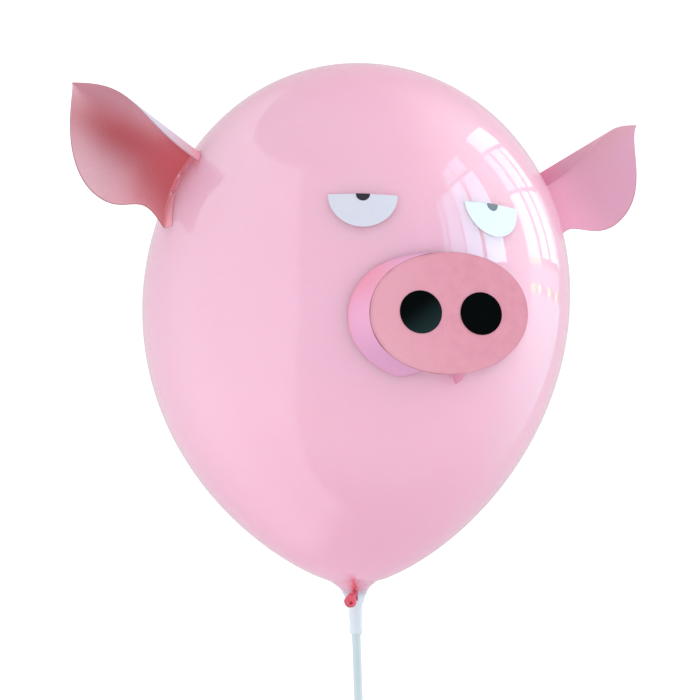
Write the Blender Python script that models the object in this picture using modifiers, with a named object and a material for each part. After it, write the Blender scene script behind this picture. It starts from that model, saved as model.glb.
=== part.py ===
# Pig balloon: a balloon on a stick with a paper snout, eyes and ears, lying on its back.
#
# All sizes are in metres. The pieces are modelled upright around the balloon's centre, with the crown of
# the balloon at +Z and the face at -Y. An empty then lays the whole object down, so that the face looks
# up. A small flat spot on the balloon's back and the lower end of the stick touch the plane z = 0, and
# the middle of the flat spot is the origin. Right and left are the pig's own: its right is at -X.
# An azimuth is an angle around the balloon, 0 at the face and positive towards the pig's left.

import math
from collections import namedtuple

import bmesh
import bpy
import numpy as np
from mathutils import Matrix, Vector

# Balloon
BALLOON_DIAMETER = 0.300
BALLOON_HEIGHT = 0.366
FLAT_SPOT_DEPTH = 0.0030

# Paper and card, and the gap kept between two pieces that touch
PAPER_THICKNESS = 0.0003
TOUCH_GAP = 0.0003

# Stick
STICK_DIAMETER = 0.0060
STICK_WALL = 0.0006
STICK_LENGTH = 0.320
STICK_SEAT = 0.018
STICK_LEAN = math.radians(3.2)

# Cup that holds the neck, set a little to one side, and its sleeve around the stick
CUP_SIDE = 0.0017
CUP_RIM_DIAMETER = 0.0336
CUP_DEPTH = 0.0145
CUP_FLARE_LENGTH = 0.0067
CUP_WALL = 0.0008
SLEEVE_WALL = 0.0013
SLEEVE_LENGTH = 0.0214
SLOT_COUNT = 4
SLOT_DEPTH = 0.0125
SLOT_AZIMUTH = math.radians(-18.0)

# Neck of the balloon, its tail through the cup's front slot, and the rolled rim at its mouth
NECK_DIAMETER = 0.0076
TAIL_DIAMETER = 0.0026
TAIL_DROP = 0.0098
MOUTH_SIDE = -0.0034
MOUTH_DIAMETER = 0.0086
MOUTH_ROLL_DIAMETER = 0.0034

# Eyes: half discs, straight side up, and their pupils
EYE_RADIUS = 0.0218
EYE_AZIMUTH = math.radians(17.75)
EYE_HEIGHT = 0.0659
PUPIL_RADIUS = 0.0044

# Snout: an oval card on a band that reaches back to the balloon
SNOUT_AZIMUTH = math.radians(1.5)
SNOUT_HEIGHT = -0.0134
SNOUT_REACH = 0.0318
CARD_WIDTH = 0.1002
CARD_HEIGHT = 0.0755
CARD_SQUARENESS = 2.08
CARD_YAW = math.radians(-4.5)
CARD_PITCH = math.radians(4.5)
CARD_ROLL = math.radians(1.1)
CARD_OVERHANG = 0.0008
BAND_YAW = math.radians(-5.7)
BAND_PITCH = math.radians(-4.2)
BAND_GROWTH = 0.131
BAND_END_ANGLE = math.radians(-76.0)
BAND_LAP_ANGLE = math.radians(14.0)
BAND_DENT_DEPTH = 0.0085
BAND_DENT_ANGLE = math.radians(40.0)
BAND_CURL_ANGLE = math.radians(5.0)
NOSTRIL_DIAMETER = 0.0264
NOSTRIL_SPACING = 0.0381

# Ears: a paper leaf on a cone. The cone's tip is given from the ear's place on the balloon.
EAR_AZIMUTH = math.radians(90.0)
EAR_HEIGHT = 0.0847
CONE_TIP_ACROSS = 0.1230
CONE_TIP_BACK = 0.0063
CONE_TIP_DROP = 0.0381
CONE_TURN = (math.radians(3.8), math.radians(-28.7), math.radians(-167.6))
GENTLE_BEND = 1.35
TIGHT_BEND = 8.8
BEND_START = math.radians(-10.8)
BEND_SPREAD = math.radians(7.4)
LEFT_EAR_TURN = (math.radians(6.4), math.radians(-4.4), math.radians(-9.9))
LEFT_EAR_OUT = 0.0012
LEFT_EAR_BACK = 0.0019
LEFT_EAR_RISE = 0.0018
LEAF_LENGTH = 0.1108
LEAF_DISTANCE = 0.1124
LEAF_OFFSET = -0.0325
LEAF_SKEW = math.radians(8.25)
TAB_LENGTH = 0.0120

# The leaf's outline, on its lower and its upper side: half widths at the foot and where it is widest,
# how far along that is, and the outline's handles at the foot, at the widest place and at the tip.
# The left ear has a lower side of its own.
LOWER_FOOT = 0.0360
LOWER_WIDEST = 0.0502
LOWER_WIDEST_AT = 0.0461
LOWER_FOOT_HANDLE = 0.0366
LOWER_BACK_HANDLE = 0.0254
LOWER_FORE_HANDLE = 0.0275
LOWER_TIP_HANDLE = 0.0038
LOWER_FOOT_ANGLE = math.radians(-34.4)
LOWER_TIP_ANGLE = math.radians(16.3)
LEFT_LOWER_FOOT = 0.0373
LEFT_LOWER_WIDEST = 0.0477
LEFT_LOWER_WIDEST_AT = 0.0509
LEFT_LOWER_FOOT_HANDLE = 0.0452
LEFT_LOWER_BACK_HANDLE = 0.0297
LEFT_LOWER_FORE_HANDLE = 0.0390
LEFT_LOWER_TIP_HANDLE = 0.0074
LEFT_LOWER_FOOT_ANGLE = math.radians(-43.7)
LEFT_LOWER_TIP_ANGLE = math.radians(14.1)
UPPER_FOOT = 0.0386
UPPER_WIDEST = 0.0497
UPPER_WIDEST_AT = 0.0261
UPPER_FOOT_HANDLE = 0.0406
UPPER_BACK_HANDLE = 0.0197
UPPER_FORE_HANDLE = 0.0533
UPPER_TIP_HANDLE = 0.0344
UPPER_FOOT_ANGLE = math.radians(-39.4)
UPPER_TIP_ANGLE = math.radians(50.4)
LeafSide = namedtuple(
    "LeafSide", "foot widest widest_at foot_handle back_handle fore_handle tip_handle foot_angle tip_angle"
)
LOWER_SIDE = LeafSide(
    LOWER_FOOT, LOWER_WIDEST, LOWER_WIDEST_AT, LOWER_FOOT_HANDLE, LOWER_BACK_HANDLE, LOWER_FORE_HANDLE,
    LOWER_TIP_HANDLE, LOWER_FOOT_ANGLE, LOWER_TIP_ANGLE
)
LEFT_LOWER_SIDE = LeafSide(
    LEFT_LOWER_FOOT, LEFT_LOWER_WIDEST, LEFT_LOWER_WIDEST_AT, LEFT_LOWER_FOOT_HANDLE, LEFT_LOWER_BACK_HANDLE,
    LEFT_LOWER_FORE_HANDLE, LEFT_LOWER_TIP_HANDLE, LEFT_LOWER_FOOT_ANGLE, LEFT_LOWER_TIP_ANGLE
)
UPPER_SIDE = LeafSide(
    UPPER_FOOT, UPPER_WIDEST, UPPER_WIDEST_AT, UPPER_FOOT_HANDLE, UPPER_BACK_HANDLE, UPPER_FORE_HANDLE,
    UPPER_TIP_HANDLE, UPPER_FOOT_ANGLE, UPPER_TIP_ANGLE
)

# Tabs at the leaf's foot: from and to, as shares of the foot's width, and how far they fall below level
Tab = namedtuple("Tab", "start end fall")
EAR_TABS = (
    Tab(0.00, 0.36, math.radians(0.0)),
    Tab(0.41, 0.59, math.radians(0.0)),
    Tab(0.64, 0.77, math.radians(0.0)),
    Tab(0.91, 1.00, math.radians(50.0)),
)

# Outline of the balloon: shares of the first four waves of its radius, the shares that push its widest
# place up and stretch its lower end, and how far its axis bends to the side at the most
RADIUS_WAVES = (1.0, 0.1486, -0.0793, 0.0056)
HEIGHT_WAVES = (0.0518, -0.0456)
AXIS_BEND = (0.0044, -0.0012)
AXIS_BEND_SPAN = 0.965

# Numbers of facets
BALLOON_SEGMENTS = 56
BALLOON_RINGS = 30
CUP_SEGMENTS = 32
STICK_SEGMENTS = 24
EAR_COLUMNS = 22
EAR_ROWS = 11
BAND_COLUMNS = 76
BAND_COLUMN_CROWDING = 0.6
CARD_POINTS = 72

UP = Vector((0.0, 0.0, 1.0))


# Outline of the balloon


def outline_at(turn):
    radius = sum(share * np.sin((k + 1) * turn) for k, share in enumerate(RADIUS_WAVES))
    height = (
        np.cos(turn)
        + HEIGHT_WAVES[0] * (np.cos(2 * turn) - 1)
        + HEIGHT_WAVES[1] * (np.cos(3 * turn) - np.cos(turn))
    )
    return radius, height


OUTLINE_TURNS = np.linspace(0.0, math.pi, 1441)
OUTLINE_PEAK = outline_at(OUTLINE_TURNS)[0].max()


def balloon_outline(turn):
    # The turn runs from 0 at the crown to pi at the lower pole
    radius, height = outline_at(turn)
    return radius / OUTLINE_PEAK * BALLOON_DIAMETER / 2, height * BALLOON_HEIGHT / 2


OUTLINE_RADII, OUTLINE_HEIGHTS = (values[::-1] for values in balloon_outline(OUTLINE_TURNS))


def radius_at(height):
    return np.interp(height, OUTLINE_HEIGHTS, OUTLINE_RADII, left=0.0, right=0.0)


def axis_shift(height):
    level = height / (AXIS_BEND_SPAN * BALLOON_HEIGHT / 2)
    return (AXIS_BEND[0] * level + AXIS_BEND[1]) * (1 - level * level)


def balloon_point(azimuth, height, lift=0.0):
    # A point on the balloon, or above it by a lift along its normal
    radius = radius_at(height)
    slope = (radius_at(height + 0.001) - radius_at(height - 0.001)) / 0.002
    normal = np.array([np.sin(azimuth), -np.cos(azimuth), -slope + 0 * azimuth])
    normal = normal / np.linalg.norm(normal, axis=0)
    across = radius * np.sin(azimuth) + axis_shift(height)
    surface = np.array([across, -radius * np.cos(azimuth), height + 0 * azimuth])
    return (surface + lift * normal).T


def outside(points):
    # Level distance of points from the balloon's surface, positive outside
    points = np.asarray(points)
    height = points[..., 2]
    return np.hypot(points[..., 0] - axis_shift(height), points[..., 1]) - radius_at(height)


def azimuth_of(points):
    return np.arctan2(points[..., 0] - axis_shift(points[..., 2]), -points[..., 1])


def laid_on_balloon(azimuth, height, across, up, lift):
    # A flat piece's points, pressed onto the balloon around one place, then lifted off its surface
    middle = balloon_point(np.array(azimuth), np.array(height))
    level = np.array([math.cos(azimuth), math.sin(azimuth), 0.0])
    normal = balloon_point(np.array(azimuth), np.array(height), 1.0) - middle
    rise = np.cross(normal, level)
    points = middle + across[:, None] * level + up[:, None] * rise
    for _ in range(8):
        points = points - outside(points)[:, None] * normal
    return balloon_point(azimuth_of(points), points[:, 2], lift)


# Collections, materials and small helpers


def clear_scene():
    for item in list(bpy.data.objects):
        bpy.data.objects.remove(item, do_unlink=True)


def new_collection(name):
    collection = bpy.data.collections.new(name)
    bpy.context.scene.collection.children.link(collection)
    return collection


def new_empty(name, collection, parent=None):
    empty = bpy.data.objects.new(name, None)
    empty.parent = parent
    collection.objects.link(empty)
    return empty


def new_material(name, colour, roughness, transmission=0.0):
    material = bpy.data.materials.new(name)
    material.use_nodes = True
    shader = material.node_tree.nodes["Principled BSDF"]
    shader.inputs["Base Color"].default_value = (*colour, 1.0)
    shader.inputs["Roughness"].default_value = roughness
    shader.inputs["Metallic"].default_value = 0.0
    shader.inputs["Transmission Weight"].default_value = transmission
    material.diffuse_color = (*colour, 1.0)
    return material


def add_object(name, mesh, collection, parent, material=None):
    item = bpy.data.objects.new(name, mesh)
    item.parent = parent
    collection.objects.link(item)
    if material:
        mesh.materials.append(material)
    return item


def mesh_from(graph, name):
    mesh = bpy.data.meshes.new(name)
    graph.to_mesh(mesh)
    graph.free()
    return mesh


def shade(item, angle=math.radians(35)):
    item.data.shade_smooth()
    item.data.set_sharp_from_angle(angle=angle)


def thicken(item, thickness):
    solidify = item.modifiers.new("Thickness", "SOLIDIFY")
    solidify.thickness = thickness
    solidify.offset = 0.0
    solidify.use_even_offset = True


def sheet_graph(columns, rows, place):
    # An open grid. The place function takes shares 0 to 1 along and across it and gives the points.
    graph = bmesh.new()
    bmesh.ops.create_grid(graph, x_segments=columns, y_segments=rows, size=0.5)
    graph.verts.ensure_lookup_table()
    shares = np.array([vertex.co[:2] for vertex in graph.verts]) + 0.5
    for vertex, point in zip(graph.verts, place(shares[:, 0], shares[:, 1])):
        vertex.co = point
    return graph


def close_sheet(graph, name):
    bmesh.ops.remove_doubles(graph, verts=graph.verts, dist=0.00002)
    bmesh.ops.recalc_face_normals(graph, faces=graph.faces)
    return mesh_from(graph, name)


def add_turned(name, profile, segments, collection, parent, material=None):
    # A closed profile of (radius, height), down the outer side and up the inner, turned about Z
    mesh = bpy.data.meshes.new(name)
    count = len(profile)
    edges = [(k, (k + 1) % count) for k in range(count)]
    mesh.from_pydata([(radius, 0.0, height) for radius, height in profile], edges, [])
    item = add_object(name, mesh, collection, parent, material)
    screw = item.modifiers.new("Turn", "SCREW")
    screw.axis = "Z"
    screw.steps = segments
    screw.render_steps = segments
    screw.use_merge_vertices = True
    screw.merge_threshold = 0.00001
    screw.use_smooth_shade = True
    return item


def add_boolean(item, cutter, operation):
    boolean = item.modifiers.new(operation.title(), "BOOLEAN")
    boolean.operation = operation
    boolean.solver = "EXACT"
    boolean.object = cutter


def hide_helper(item):
    item.hide_render = True
    item.display_type = "WIRE"


# Cup and stick, in the cup's own frame: the origin is the middle of the rim, +Z runs up into the balloon


def sleeve_bore():
    return STICK_DIAMETER / 2 + TOUCH_GAP


def sleeve_radius():
    return sleeve_bore() + SLEEVE_WALL


def cup_radius(depth):
    # The cup's outer side narrows fast below its rim and then slower, like a trumpet
    spread = CUP_RIM_DIAMETER / 2 - sleeve_radius()
    return sleeve_radius() + spread * math.exp(-depth / CUP_FLARE_LENGTH)


def cup_profile(steps=9):
    depths = [CUP_DEPTH * k / steps for k in range(steps + 1)]
    outer = [(cup_radius(depth), -depth) for depth in depths]
    outer.append((sleeve_radius(), -CUP_DEPTH - 0.0006))
    outer.append((sleeve_radius(), -CUP_DEPTH - SLEEVE_LENGTH))
    inner = [(sleeve_bore(), -CUP_DEPTH - SLEEVE_LENGTH), (sleeve_bore(), -CUP_DEPTH)]
    inner += [(max(cup_radius(depth) - CUP_WALL, sleeve_bore()), -depth) for depth in depths[-2::-1]]
    return outer + inner


def cup_seat():
    # Height of the rim's middle at which the leaning rim just clears the balloon
    angles = np.linspace(0.0, 2 * math.pi, 181)
    radius = CUP_RIM_DIAMETER / 2
    across = radius * np.cos(angles)
    low, high = -BALLOON_HEIGHT, 0.0
    for _ in range(50):
        middle = (low + high) / 2
        level = CUP_SIDE + across * math.cos(STICK_LEAN)
        rim = np.stack([level, radius * np.sin(angles), middle + across * math.sin(STICK_LEAN)], axis=1)
        if (outside(rim) > TOUCH_GAP * 2).all() or middle < -BALLOON_HEIGHT / 2:
            low = middle
        else:
            high = middle
    return low


def slot_width():
    return TAIL_DIAMETER + 4 * TOUCH_GAP


def add_cup(collection, cutters, parent, material):
    cup = add_turned("balloon_cup", cup_profile(), CUP_SEGMENTS, collection, parent, material)
    for k in range(SLOT_COUNT):
        graph = bmesh.new()
        size = (slot_width(), CUP_RIM_DIAMETER * 0.7, SLOT_DEPTH * 2)
        bmesh.ops.create_cube(graph, size=1.0, matrix=Matrix.Diagonal((*size, 1.0)))
        bmesh.ops.translate(graph, verts=graph.verts, vec=(0.0, -size[1] / 2, 0.0))
        slot = add_object(f"cup_slot_{k + 1}", mesh_from(graph, "cup_slot"), cutters, parent)
        slot.rotation_euler.z = SLOT_AZIMUTH + 2 * math.pi * k / SLOT_COUNT
        hide_helper(slot)
        add_boolean(cup, slot, "DIFFERENCE")
    return cup


def stick_top():
    return -CUP_DEPTH - SLEEVE_LENGTH + STICK_SEAT


def add_stick(collection, parent, material):
    outer = STICK_DIAMETER / 2
    inner = outer - STICK_WALL
    top = stick_top()
    bottom = top - STICK_LENGTH
    profile = [(outer, top), (outer, bottom), (inner, bottom), (inner, top)]
    return add_turned("balloon_stick", profile, STICK_SEGMENTS, collection, parent, material)


# Balloon with its neck, tail and mouth


def tail_points():
    # Distance out through the front slot, sideways, height, and diameter along the neck and tail
    out = cup_radius(TAIL_DROP - MOUTH_ROLL_DIAMETER) + TOUCH_GAP + MOUTH_ROLL_DIAMETER / 2
    return [
        (0.0, 0.0, 0.006, NECK_DIAMETER),
        (0.0, 0.0, 0.000, NECK_DIAMETER),
        (0.0, 0.0, -0.003, NECK_DIAMETER * 0.85),
        (out * 0.10, 0.0, -TAIL_DROP * 0.48, TAIL_DIAMETER * 1.5),
        (out * 0.50, 0.0, -TAIL_DROP * 0.60, TAIL_DIAMETER),
        (out * 0.95, 0.0, -TAIL_DROP * 0.66, TAIL_DIAMETER),
        (out, MOUTH_SIDE * 0.25, -TAIL_DROP * 0.74, TAIL_DIAMETER),
        (out, MOUTH_SIDE * 0.85, -TAIL_DROP * 0.88, TAIL_DIAMETER),
        (out, MOUTH_SIDE, -TAIL_DROP - MOUTH_ROLL_DIAMETER * 0.1, TAIL_DIAMETER),
    ]


def slot_place(out, side, height):
    across = out * math.sin(SLOT_AZIMUTH) + side * math.cos(SLOT_AZIMUTH)
    return Vector((across, side * math.sin(SLOT_AZIMUTH) - out * math.cos(SLOT_AZIMUTH), height))


def add_tail(cutters, parent):
    curve = bpy.data.curves.new("balloon_tail", "CURVE")
    curve.dimensions = "3D"
    curve.bevel_depth = TAIL_DIAMETER / 2
    curve.bevel_resolution = 1
    curve.use_fill_caps = True
    curve.resolution_u = 3
    points = tail_points()
    spline = curve.splines.new("NURBS")
    spline.points.add(len(points) - 1)
    spline.use_endpoint_u = True
    spline.order_u = 3
    for point, (out, side, height, diameter) in zip(spline.points, points):
        point.co = (*slot_place(out, side, height), 1.0)
        point.radius = diameter / TAIL_DIAMETER
    path = add_object("balloon_tail_path", curve, cutters, parent)
    bpy.context.view_layer.update()
    mesh = bpy.data.meshes.new_from_object(path.evaluated_get(bpy.context.evaluated_depsgraph_get()))
    graph = bmesh.new()
    graph.from_mesh(mesh)
    bmesh.ops.remove_doubles(graph, verts=graph.verts, dist=0.00001)
    bmesh.ops.recalc_face_normals(graph, faces=graph.faces)
    graph.to_mesh(mesh)
    graph.free()
    bpy.data.objects.remove(path, do_unlink=True)
    tail = add_object("balloon_tail", mesh, cutters, parent)
    hide_helper(tail)
    return tail


def add_mouth(cutters, parent):
    out, side, height, _ = tail_points()[-1]
    roll = MOUTH_ROLL_DIAMETER / 2
    ring = MOUTH_DIAMETER / 2 - roll
    bpy.ops.mesh.primitive_torus_add(
        major_radius=ring, minor_radius=roll, major_segments=20, minor_segments=8, align="WORLD"
    )
    mouth = bpy.context.object
    mouth.name = "balloon_mouth"
    for collection in list(mouth.users_collection):
        collection.objects.unlink(mouth)
    cutters.objects.link(mouth)
    mouth.parent = parent
    mouth.location = slot_place(out, side, height - ring)
    mouth.rotation_euler = (math.pi / 2, 0.0, SLOT_AZIMUTH)
    hide_helper(mouth)
    return mouth


def add_balloon(collection, cutters, parent, cup_frame, material):
    graph = bmesh.new()
    bmesh.ops.create_uvsphere(graph, u_segments=BALLOON_SEGMENTS, v_segments=BALLOON_RINGS, radius=1.0)
    for vertex in graph.verts:
        turn = math.acos(max(-1.0, min(1.0, vertex.co.z)))
        azimuth = math.atan2(vertex.co.x, -vertex.co.y)
        radius, height = balloon_outline(turn)
        vertex.co = (
            radius * math.sin(azimuth) + axis_shift(height), -radius * math.cos(azimuth), height
        )
    balloon = add_object("balloon", mesh_from(graph, "balloon"), collection, parent, material)
    balloon.data.shade_smooth()
    add_boolean(balloon, add_tail(cutters, cup_frame), "UNION")
    add_boolean(balloon, add_mouth(cutters, cup_frame), "UNION")

    floor_graph = bmesh.new()
    bmesh.ops.create_cube(floor_graph, size=BALLOON_DIAMETER)
    bmesh.ops.translate(floor_graph, verts=floor_graph.verts, vec=(0.0, 0.0, -BALLOON_DIAMETER / 2))
    floor = add_object("flat_spot_cutter", mesh_from(floor_graph, "flat_spot_cutter"), cutters, None)
    hide_helper(floor)
    add_boolean(balloon, floor, "DIFFERENCE")
    return balloon


# Eyes


def add_half_disc(name, side, radius, lift, columns, rows, collection, parent, material):
    def place(around, outward):
        angle = math.pi * (1 + around)
        return laid_on_balloon(
            side * EYE_AZIMUTH, EYE_HEIGHT, radius * outward * np.cos(angle), radius * outward * np.sin(angle), lift
        )

    mesh = close_sheet(sheet_graph(columns, rows, place), name)
    disc = add_object(name, mesh, collection, parent, material)
    thicken(disc, PAPER_THICKNESS)
    return disc


def add_eyes(collection, parent, eye_material, pupil_material):
    eye_lift = TOUCH_GAP + PAPER_THICKNESS / 2
    pupil_lift = eye_lift + PAPER_THICKNESS + TOUCH_GAP
    for side, label in ((-1, "right"), (1, "left")):
        add_half_disc(f"eye_{label}", side, EYE_RADIUS, eye_lift, 20, 4, collection, parent, eye_material)
        add_half_disc(f"pupil_{label}", side, PUPIL_RADIUS, pupil_lift, 12, 1, collection, parent, pupil_material)


# Snout


def facing(yaw, pitch, roll=0.0):
    # Axes of a card that faces forward: X to the side, Y up and Z out of its face
    return (
        Matrix.Rotation(yaw, 3, "Z") @ Matrix.Rotation(math.pi / 2 - pitch, 3, "X") @ Matrix.Rotation(roll, 3, "Z")
    )


def card_middle():
    foot = Vector(balloon_point(np.array(SNOUT_AZIMUTH), np.array(SNOUT_HEIGHT)))
    return foot + facing(CARD_YAW, CARD_PITCH) @ UP * SNOUT_REACH


def oval(angle, inset):
    # A slightly squared oval in the card's plane, inside the card's edge by the inset
    power = 2.0 / CARD_SQUARENESS
    cosine, sine = np.cos(angle), np.sin(angle)
    across = (CARD_WIDTH / 2 - inset) * np.sign(cosine) * np.abs(cosine) ** power
    up = (CARD_HEIGHT / 2 - inset) * np.sign(sine) * np.abs(sine) ** power
    return across, up


def add_card(collection, parent, material):
    curve = bpy.data.curves.new("snout_card", "CURVE")
    curve.dimensions = "2D"
    curve.fill_mode = "BOTH"
    curve.extrude = PAPER_THICKNESS / 2
    spline = curve.splines.new("POLY")
    spline.points.add(CARD_POINTS - 1)
    spline.use_cyclic_u = True
    angles = np.linspace(0.0, 2 * math.pi, CARD_POINTS, endpoint=False)
    for point, across, up in zip(spline.points, *oval(angles, 0.0)):
        point.co = (across, up, 0.0, 1.0)
    path = add_object("snout_card_path", curve, collection, None)
    bpy.context.view_layer.update()
    mesh = bpy.data.meshes.new_from_object(path.evaluated_get(bpy.context.evaluated_depsgraph_get()))
    bpy.data.objects.remove(path, do_unlink=True)
    graph = bmesh.new()
    graph.from_mesh(mesh)
    bmesh.ops.remove_doubles(graph, verts=graph.verts, dist=0.00001)
    graph.to_mesh(mesh)
    graph.free()
    mesh.name = "snout_card"
    card = add_object("snout_card", mesh, collection, parent, material)
    card.location = card_middle()
    card.rotation_euler = facing(CARD_YAW, CARD_PITCH, CARD_ROLL).to_euler()
    return card


def add_nostrils(collection, card, material):
    for side, label in ((-1, "right"), (1, "left")):
        graph = bmesh.new()
        bmesh.ops.create_cone(
            graph, cap_ends=True, segments=36, radius1=NOSTRIL_DIAMETER / 2, radius2=NOSTRIL_DIAMETER / 2,
            depth=PAPER_THICKNESS
        )
        nostril = add_object(f"nostril_{label}", mesh_from(graph, "nostril"), collection, card, material)
        nostril.location = (side * NOSTRIL_SPACING / 2, 0.0, PAPER_THICKNESS + TOUCH_GAP)
        shade(nostril)


def soft_step(value, start, end):
    share = np.clip((value - start) / (end - start), 0.0, 1.0)
    return share * share * (3 - 2 * share)


def band_lift(past_end):
    # How far the strip lies outside the oval, by the angle past its outer end. Its underside is pressed
    # in, the outer end springs back out, and the inner end runs in under the outer one.
    lap = (PAPER_THICKNESS + 2 * TOUCH_GAP) * (1 - soft_step(past_end, BAND_LAP_ANGLE, BAND_LAP_ANGLE * 2))
    curl = 1 - soft_step(past_end, 0.0, BAND_CURL_ANGLE)
    outer = (1 - curl) * (1 - soft_step(past_end, BAND_LAP_ANGLE, BAND_DENT_ANGLE))
    inner = soft_step(past_end, 2 * math.pi - BAND_DENT_ANGLE, 2 * math.pi)
    return lap - BAND_DENT_DEPTH * (outer + inner)


def band_points(along, back):
    # The strip runs around the oval from its outer end, and back from the card to the balloon
    crowded = along - BAND_COLUMN_CROWDING * np.sin(2 * math.pi * along) / (2 * math.pi)
    past_end = (2 * math.pi + BAND_LAP_ANGLE) * crowded
    angle = BAND_END_ANGLE - past_end
    across, up = oval(angle, CARD_OVERHANG + PAPER_THICKNESS / 2 - band_lift(past_end))
    card_axes = np.array(facing(CARD_YAW, CARD_PITCH, CARD_ROLL))
    front = np.array(card_middle()) - card_axes[:, 2] * (PAPER_THICKNESS / 2 + TOUCH_GAP)
    spread = across[:, None] * card_axes[:, 0] + up[:, None] * card_axes[:, 1]
    inward = -np.array(facing(BAND_YAW, BAND_PITCH) @ UP)

    def ring(depth):
        growth = 1 + BAND_GROWTH * depth / SNOUT_REACH
        return front + spread * growth[:, None] + inward * depth[:, None]

    near, far = np.zeros_like(along), np.full_like(along, SNOUT_REACH + BALLOON_DIAMETER / 3)
    for _ in range(40):
        middle = (near + far) / 2
        free = outside(ring(middle)) > TOUCH_GAP + PAPER_THICKNESS
        near, far = np.where(free, middle, near), np.where(free, far, middle)
    return ring(near * back)


def add_band(collection, parent, material):
    mesh = close_sheet(sheet_graph(BAND_COLUMNS, 1, band_points), "snout_band")
    band = add_object("snout_band", mesh, collection, parent, material)
    thicken(band, PAPER_THICKNESS)
    shade(band)
    return band


# Ears


def cubic(first, second, third, fourth, count=25):
    share = np.linspace(0.0, 1.0, count)[:, None]
    rest = 1 - share
    first, second, third, fourth = (np.array(point) for point in (first, second, third, fourth))
    return rest**3 * first + 3 * rest**2 * share * second + 3 * rest * share**2 * third + share**3 * fourth


def side_outline(side):
    # Distance along the leaf and half width, from the foot over the widest place to the tip
    foot, widest, tip = (0.0, side.foot), (side.widest_at, side.widest), (LEAF_LENGTH, 0.0)
    rise = (side.foot_handle * math.cos(side.foot_angle), side.foot + side.foot_handle * math.sin(side.foot_angle))
    fall = (
        LEAF_LENGTH - side.tip_handle * math.cos(side.tip_angle), side.tip_handle * math.sin(side.tip_angle)
    )
    lower = cubic(foot, rise, (side.widest_at - side.back_handle, side.widest), widest)
    upper = cubic(widest, (side.widest_at + side.fore_handle, side.widest), fall, tip)
    return np.vstack([lower, upper[1:]])


def leaf_width(along, share, side):
    # Place across the leaf for shares from -1 on its lower side to 1 on its upper side
    lower = side_outline(LOWER_SIDE if side < 0 else LEFT_LOWER_SIDE)
    upper = side_outline(UPPER_SIDE)
    lower_width = np.interp(along, lower[:, 0], lower[:, 1])
    upper_width = np.interp(along, upper[:, 0], upper[:, 1])
    return share * np.where(share < 0, lower_width, upper_width)


def cone_rulings(reach=1.5, steps=150):
    # Directions of the cone's straight lines, found by rolling the flat paper on step by step
    angles = np.linspace(-reach, reach, 2 * steps + 1)
    directions = np.zeros((2 * steps + 1, 3))
    for way in (1, -1):
        axes = Matrix.Identity(3)
        directions[steps] = axes.col[0]
        for k in range(1, steps + 1):
            angle = way * (k - 0.5) * reach / steps
            tight = 0.5 * (1 + math.tanh((angle - BEND_START) / BEND_SPREAD))
            bend = -(GENTLE_BEND + (TIGHT_BEND - GENTLE_BEND) * tight)
            axis = axes.col[0] * bend + axes.col[2]
            axes = Matrix.Rotation(way * axis.length * reach / steps, 3, axis) @ axes
            directions[steps + way * k] = axes.col[0]
    return angles, directions


CONE_ANGLES, CONE_DIRECTIONS = cone_rulings()


def ear_placement(side):
    # Axes and tip of the ear's cone. The left ear mirrors the right one, a little turned and shifted.
    place = balloon_point(np.array(-EAR_AZIMUTH), np.array(EAR_HEIGHT))
    axes = np.array(Matrix.Rotation(CONE_TURN[2], 3, "Z") @ Matrix.Rotation(CONE_TURN[1], 3, "Y")
                    @ Matrix.Rotation(CONE_TURN[0], 3, "X"))
    tip = place + np.array((CONE_TIP_ACROSS, CONE_TIP_BACK, -CONE_TIP_DROP))
    if side < 0:
        return axes, tip
    mirror = np.diag((-1.0, 1.0, 1.0))
    extra = np.array(Matrix.Rotation(LEFT_EAR_TURN[2], 3, "Z") @ Matrix.Rotation(LEFT_EAR_TURN[1], 3, "Y")
                     @ Matrix.Rotation(LEFT_EAR_TURN[0], 3, "X"))
    pivot = mirror @ place
    shift = np.array((LEFT_EAR_OUT, LEFT_EAR_BACK, LEFT_EAR_RISE))
    return extra @ mirror @ axes, extra @ (mirror @ tip - pivot) + pivot + shift


def rolled_leaf(along, share, side):
    # The flat leaf's points in the paper's plane, then at the same distance and angle on the cone
    across = leaf_width(along, share, side)
    flat_x = LEAF_DISTANCE + along * math.cos(LEAF_SKEW) - across * math.sin(LEAF_SKEW)
    flat_y = LEAF_OFFSET + along * math.sin(LEAF_SKEW) + across * math.cos(LEAF_SKEW)
    distance, angle = np.hypot(flat_x, flat_y), np.arctan2(flat_y, flat_x)
    direction = np.stack([np.interp(angle, CONE_ANGLES, CONE_DIRECTIONS[:, k]) for k in range(3)], axis=-1)
    axes, tip = ear_placement(side)
    return (distance[..., None] * direction) @ axes.T + tip


def ear_clearance():
    return TOUCH_GAP + 1.7 * PAPER_THICKNESS


def foot_of(share, side):
    # Where each line along the leaf comes out of the balloon
    trial = np.linspace(-0.35, 0.6, 400) * LEAF_LENGTH
    grid = rolled_leaf(trial[:, None] + 0 * share[None, :], share[None, :] + 0 * trial[:, None], side)
    inside = outside(grid) < ear_clearance()
    last = len(trial) - 1 - np.argmax(inside[::-1], axis=0)
    last = np.where(inside.any(axis=0), last, 0)
    return trial[np.minimum(last + 1, len(trial) - 1)]


def slid_on_balloon(point, length, fall, side):
    # A point moved over the balloon towards the face, and down by the fall angle
    point = np.array(point)
    height = point[2] - length * math.sin(fall)
    azimuth = azimuth_of(point) - side * length * math.cos(fall) / radius_at(height)
    return balloon_point(azimuth, np.array(height), ear_clearance())


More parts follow.
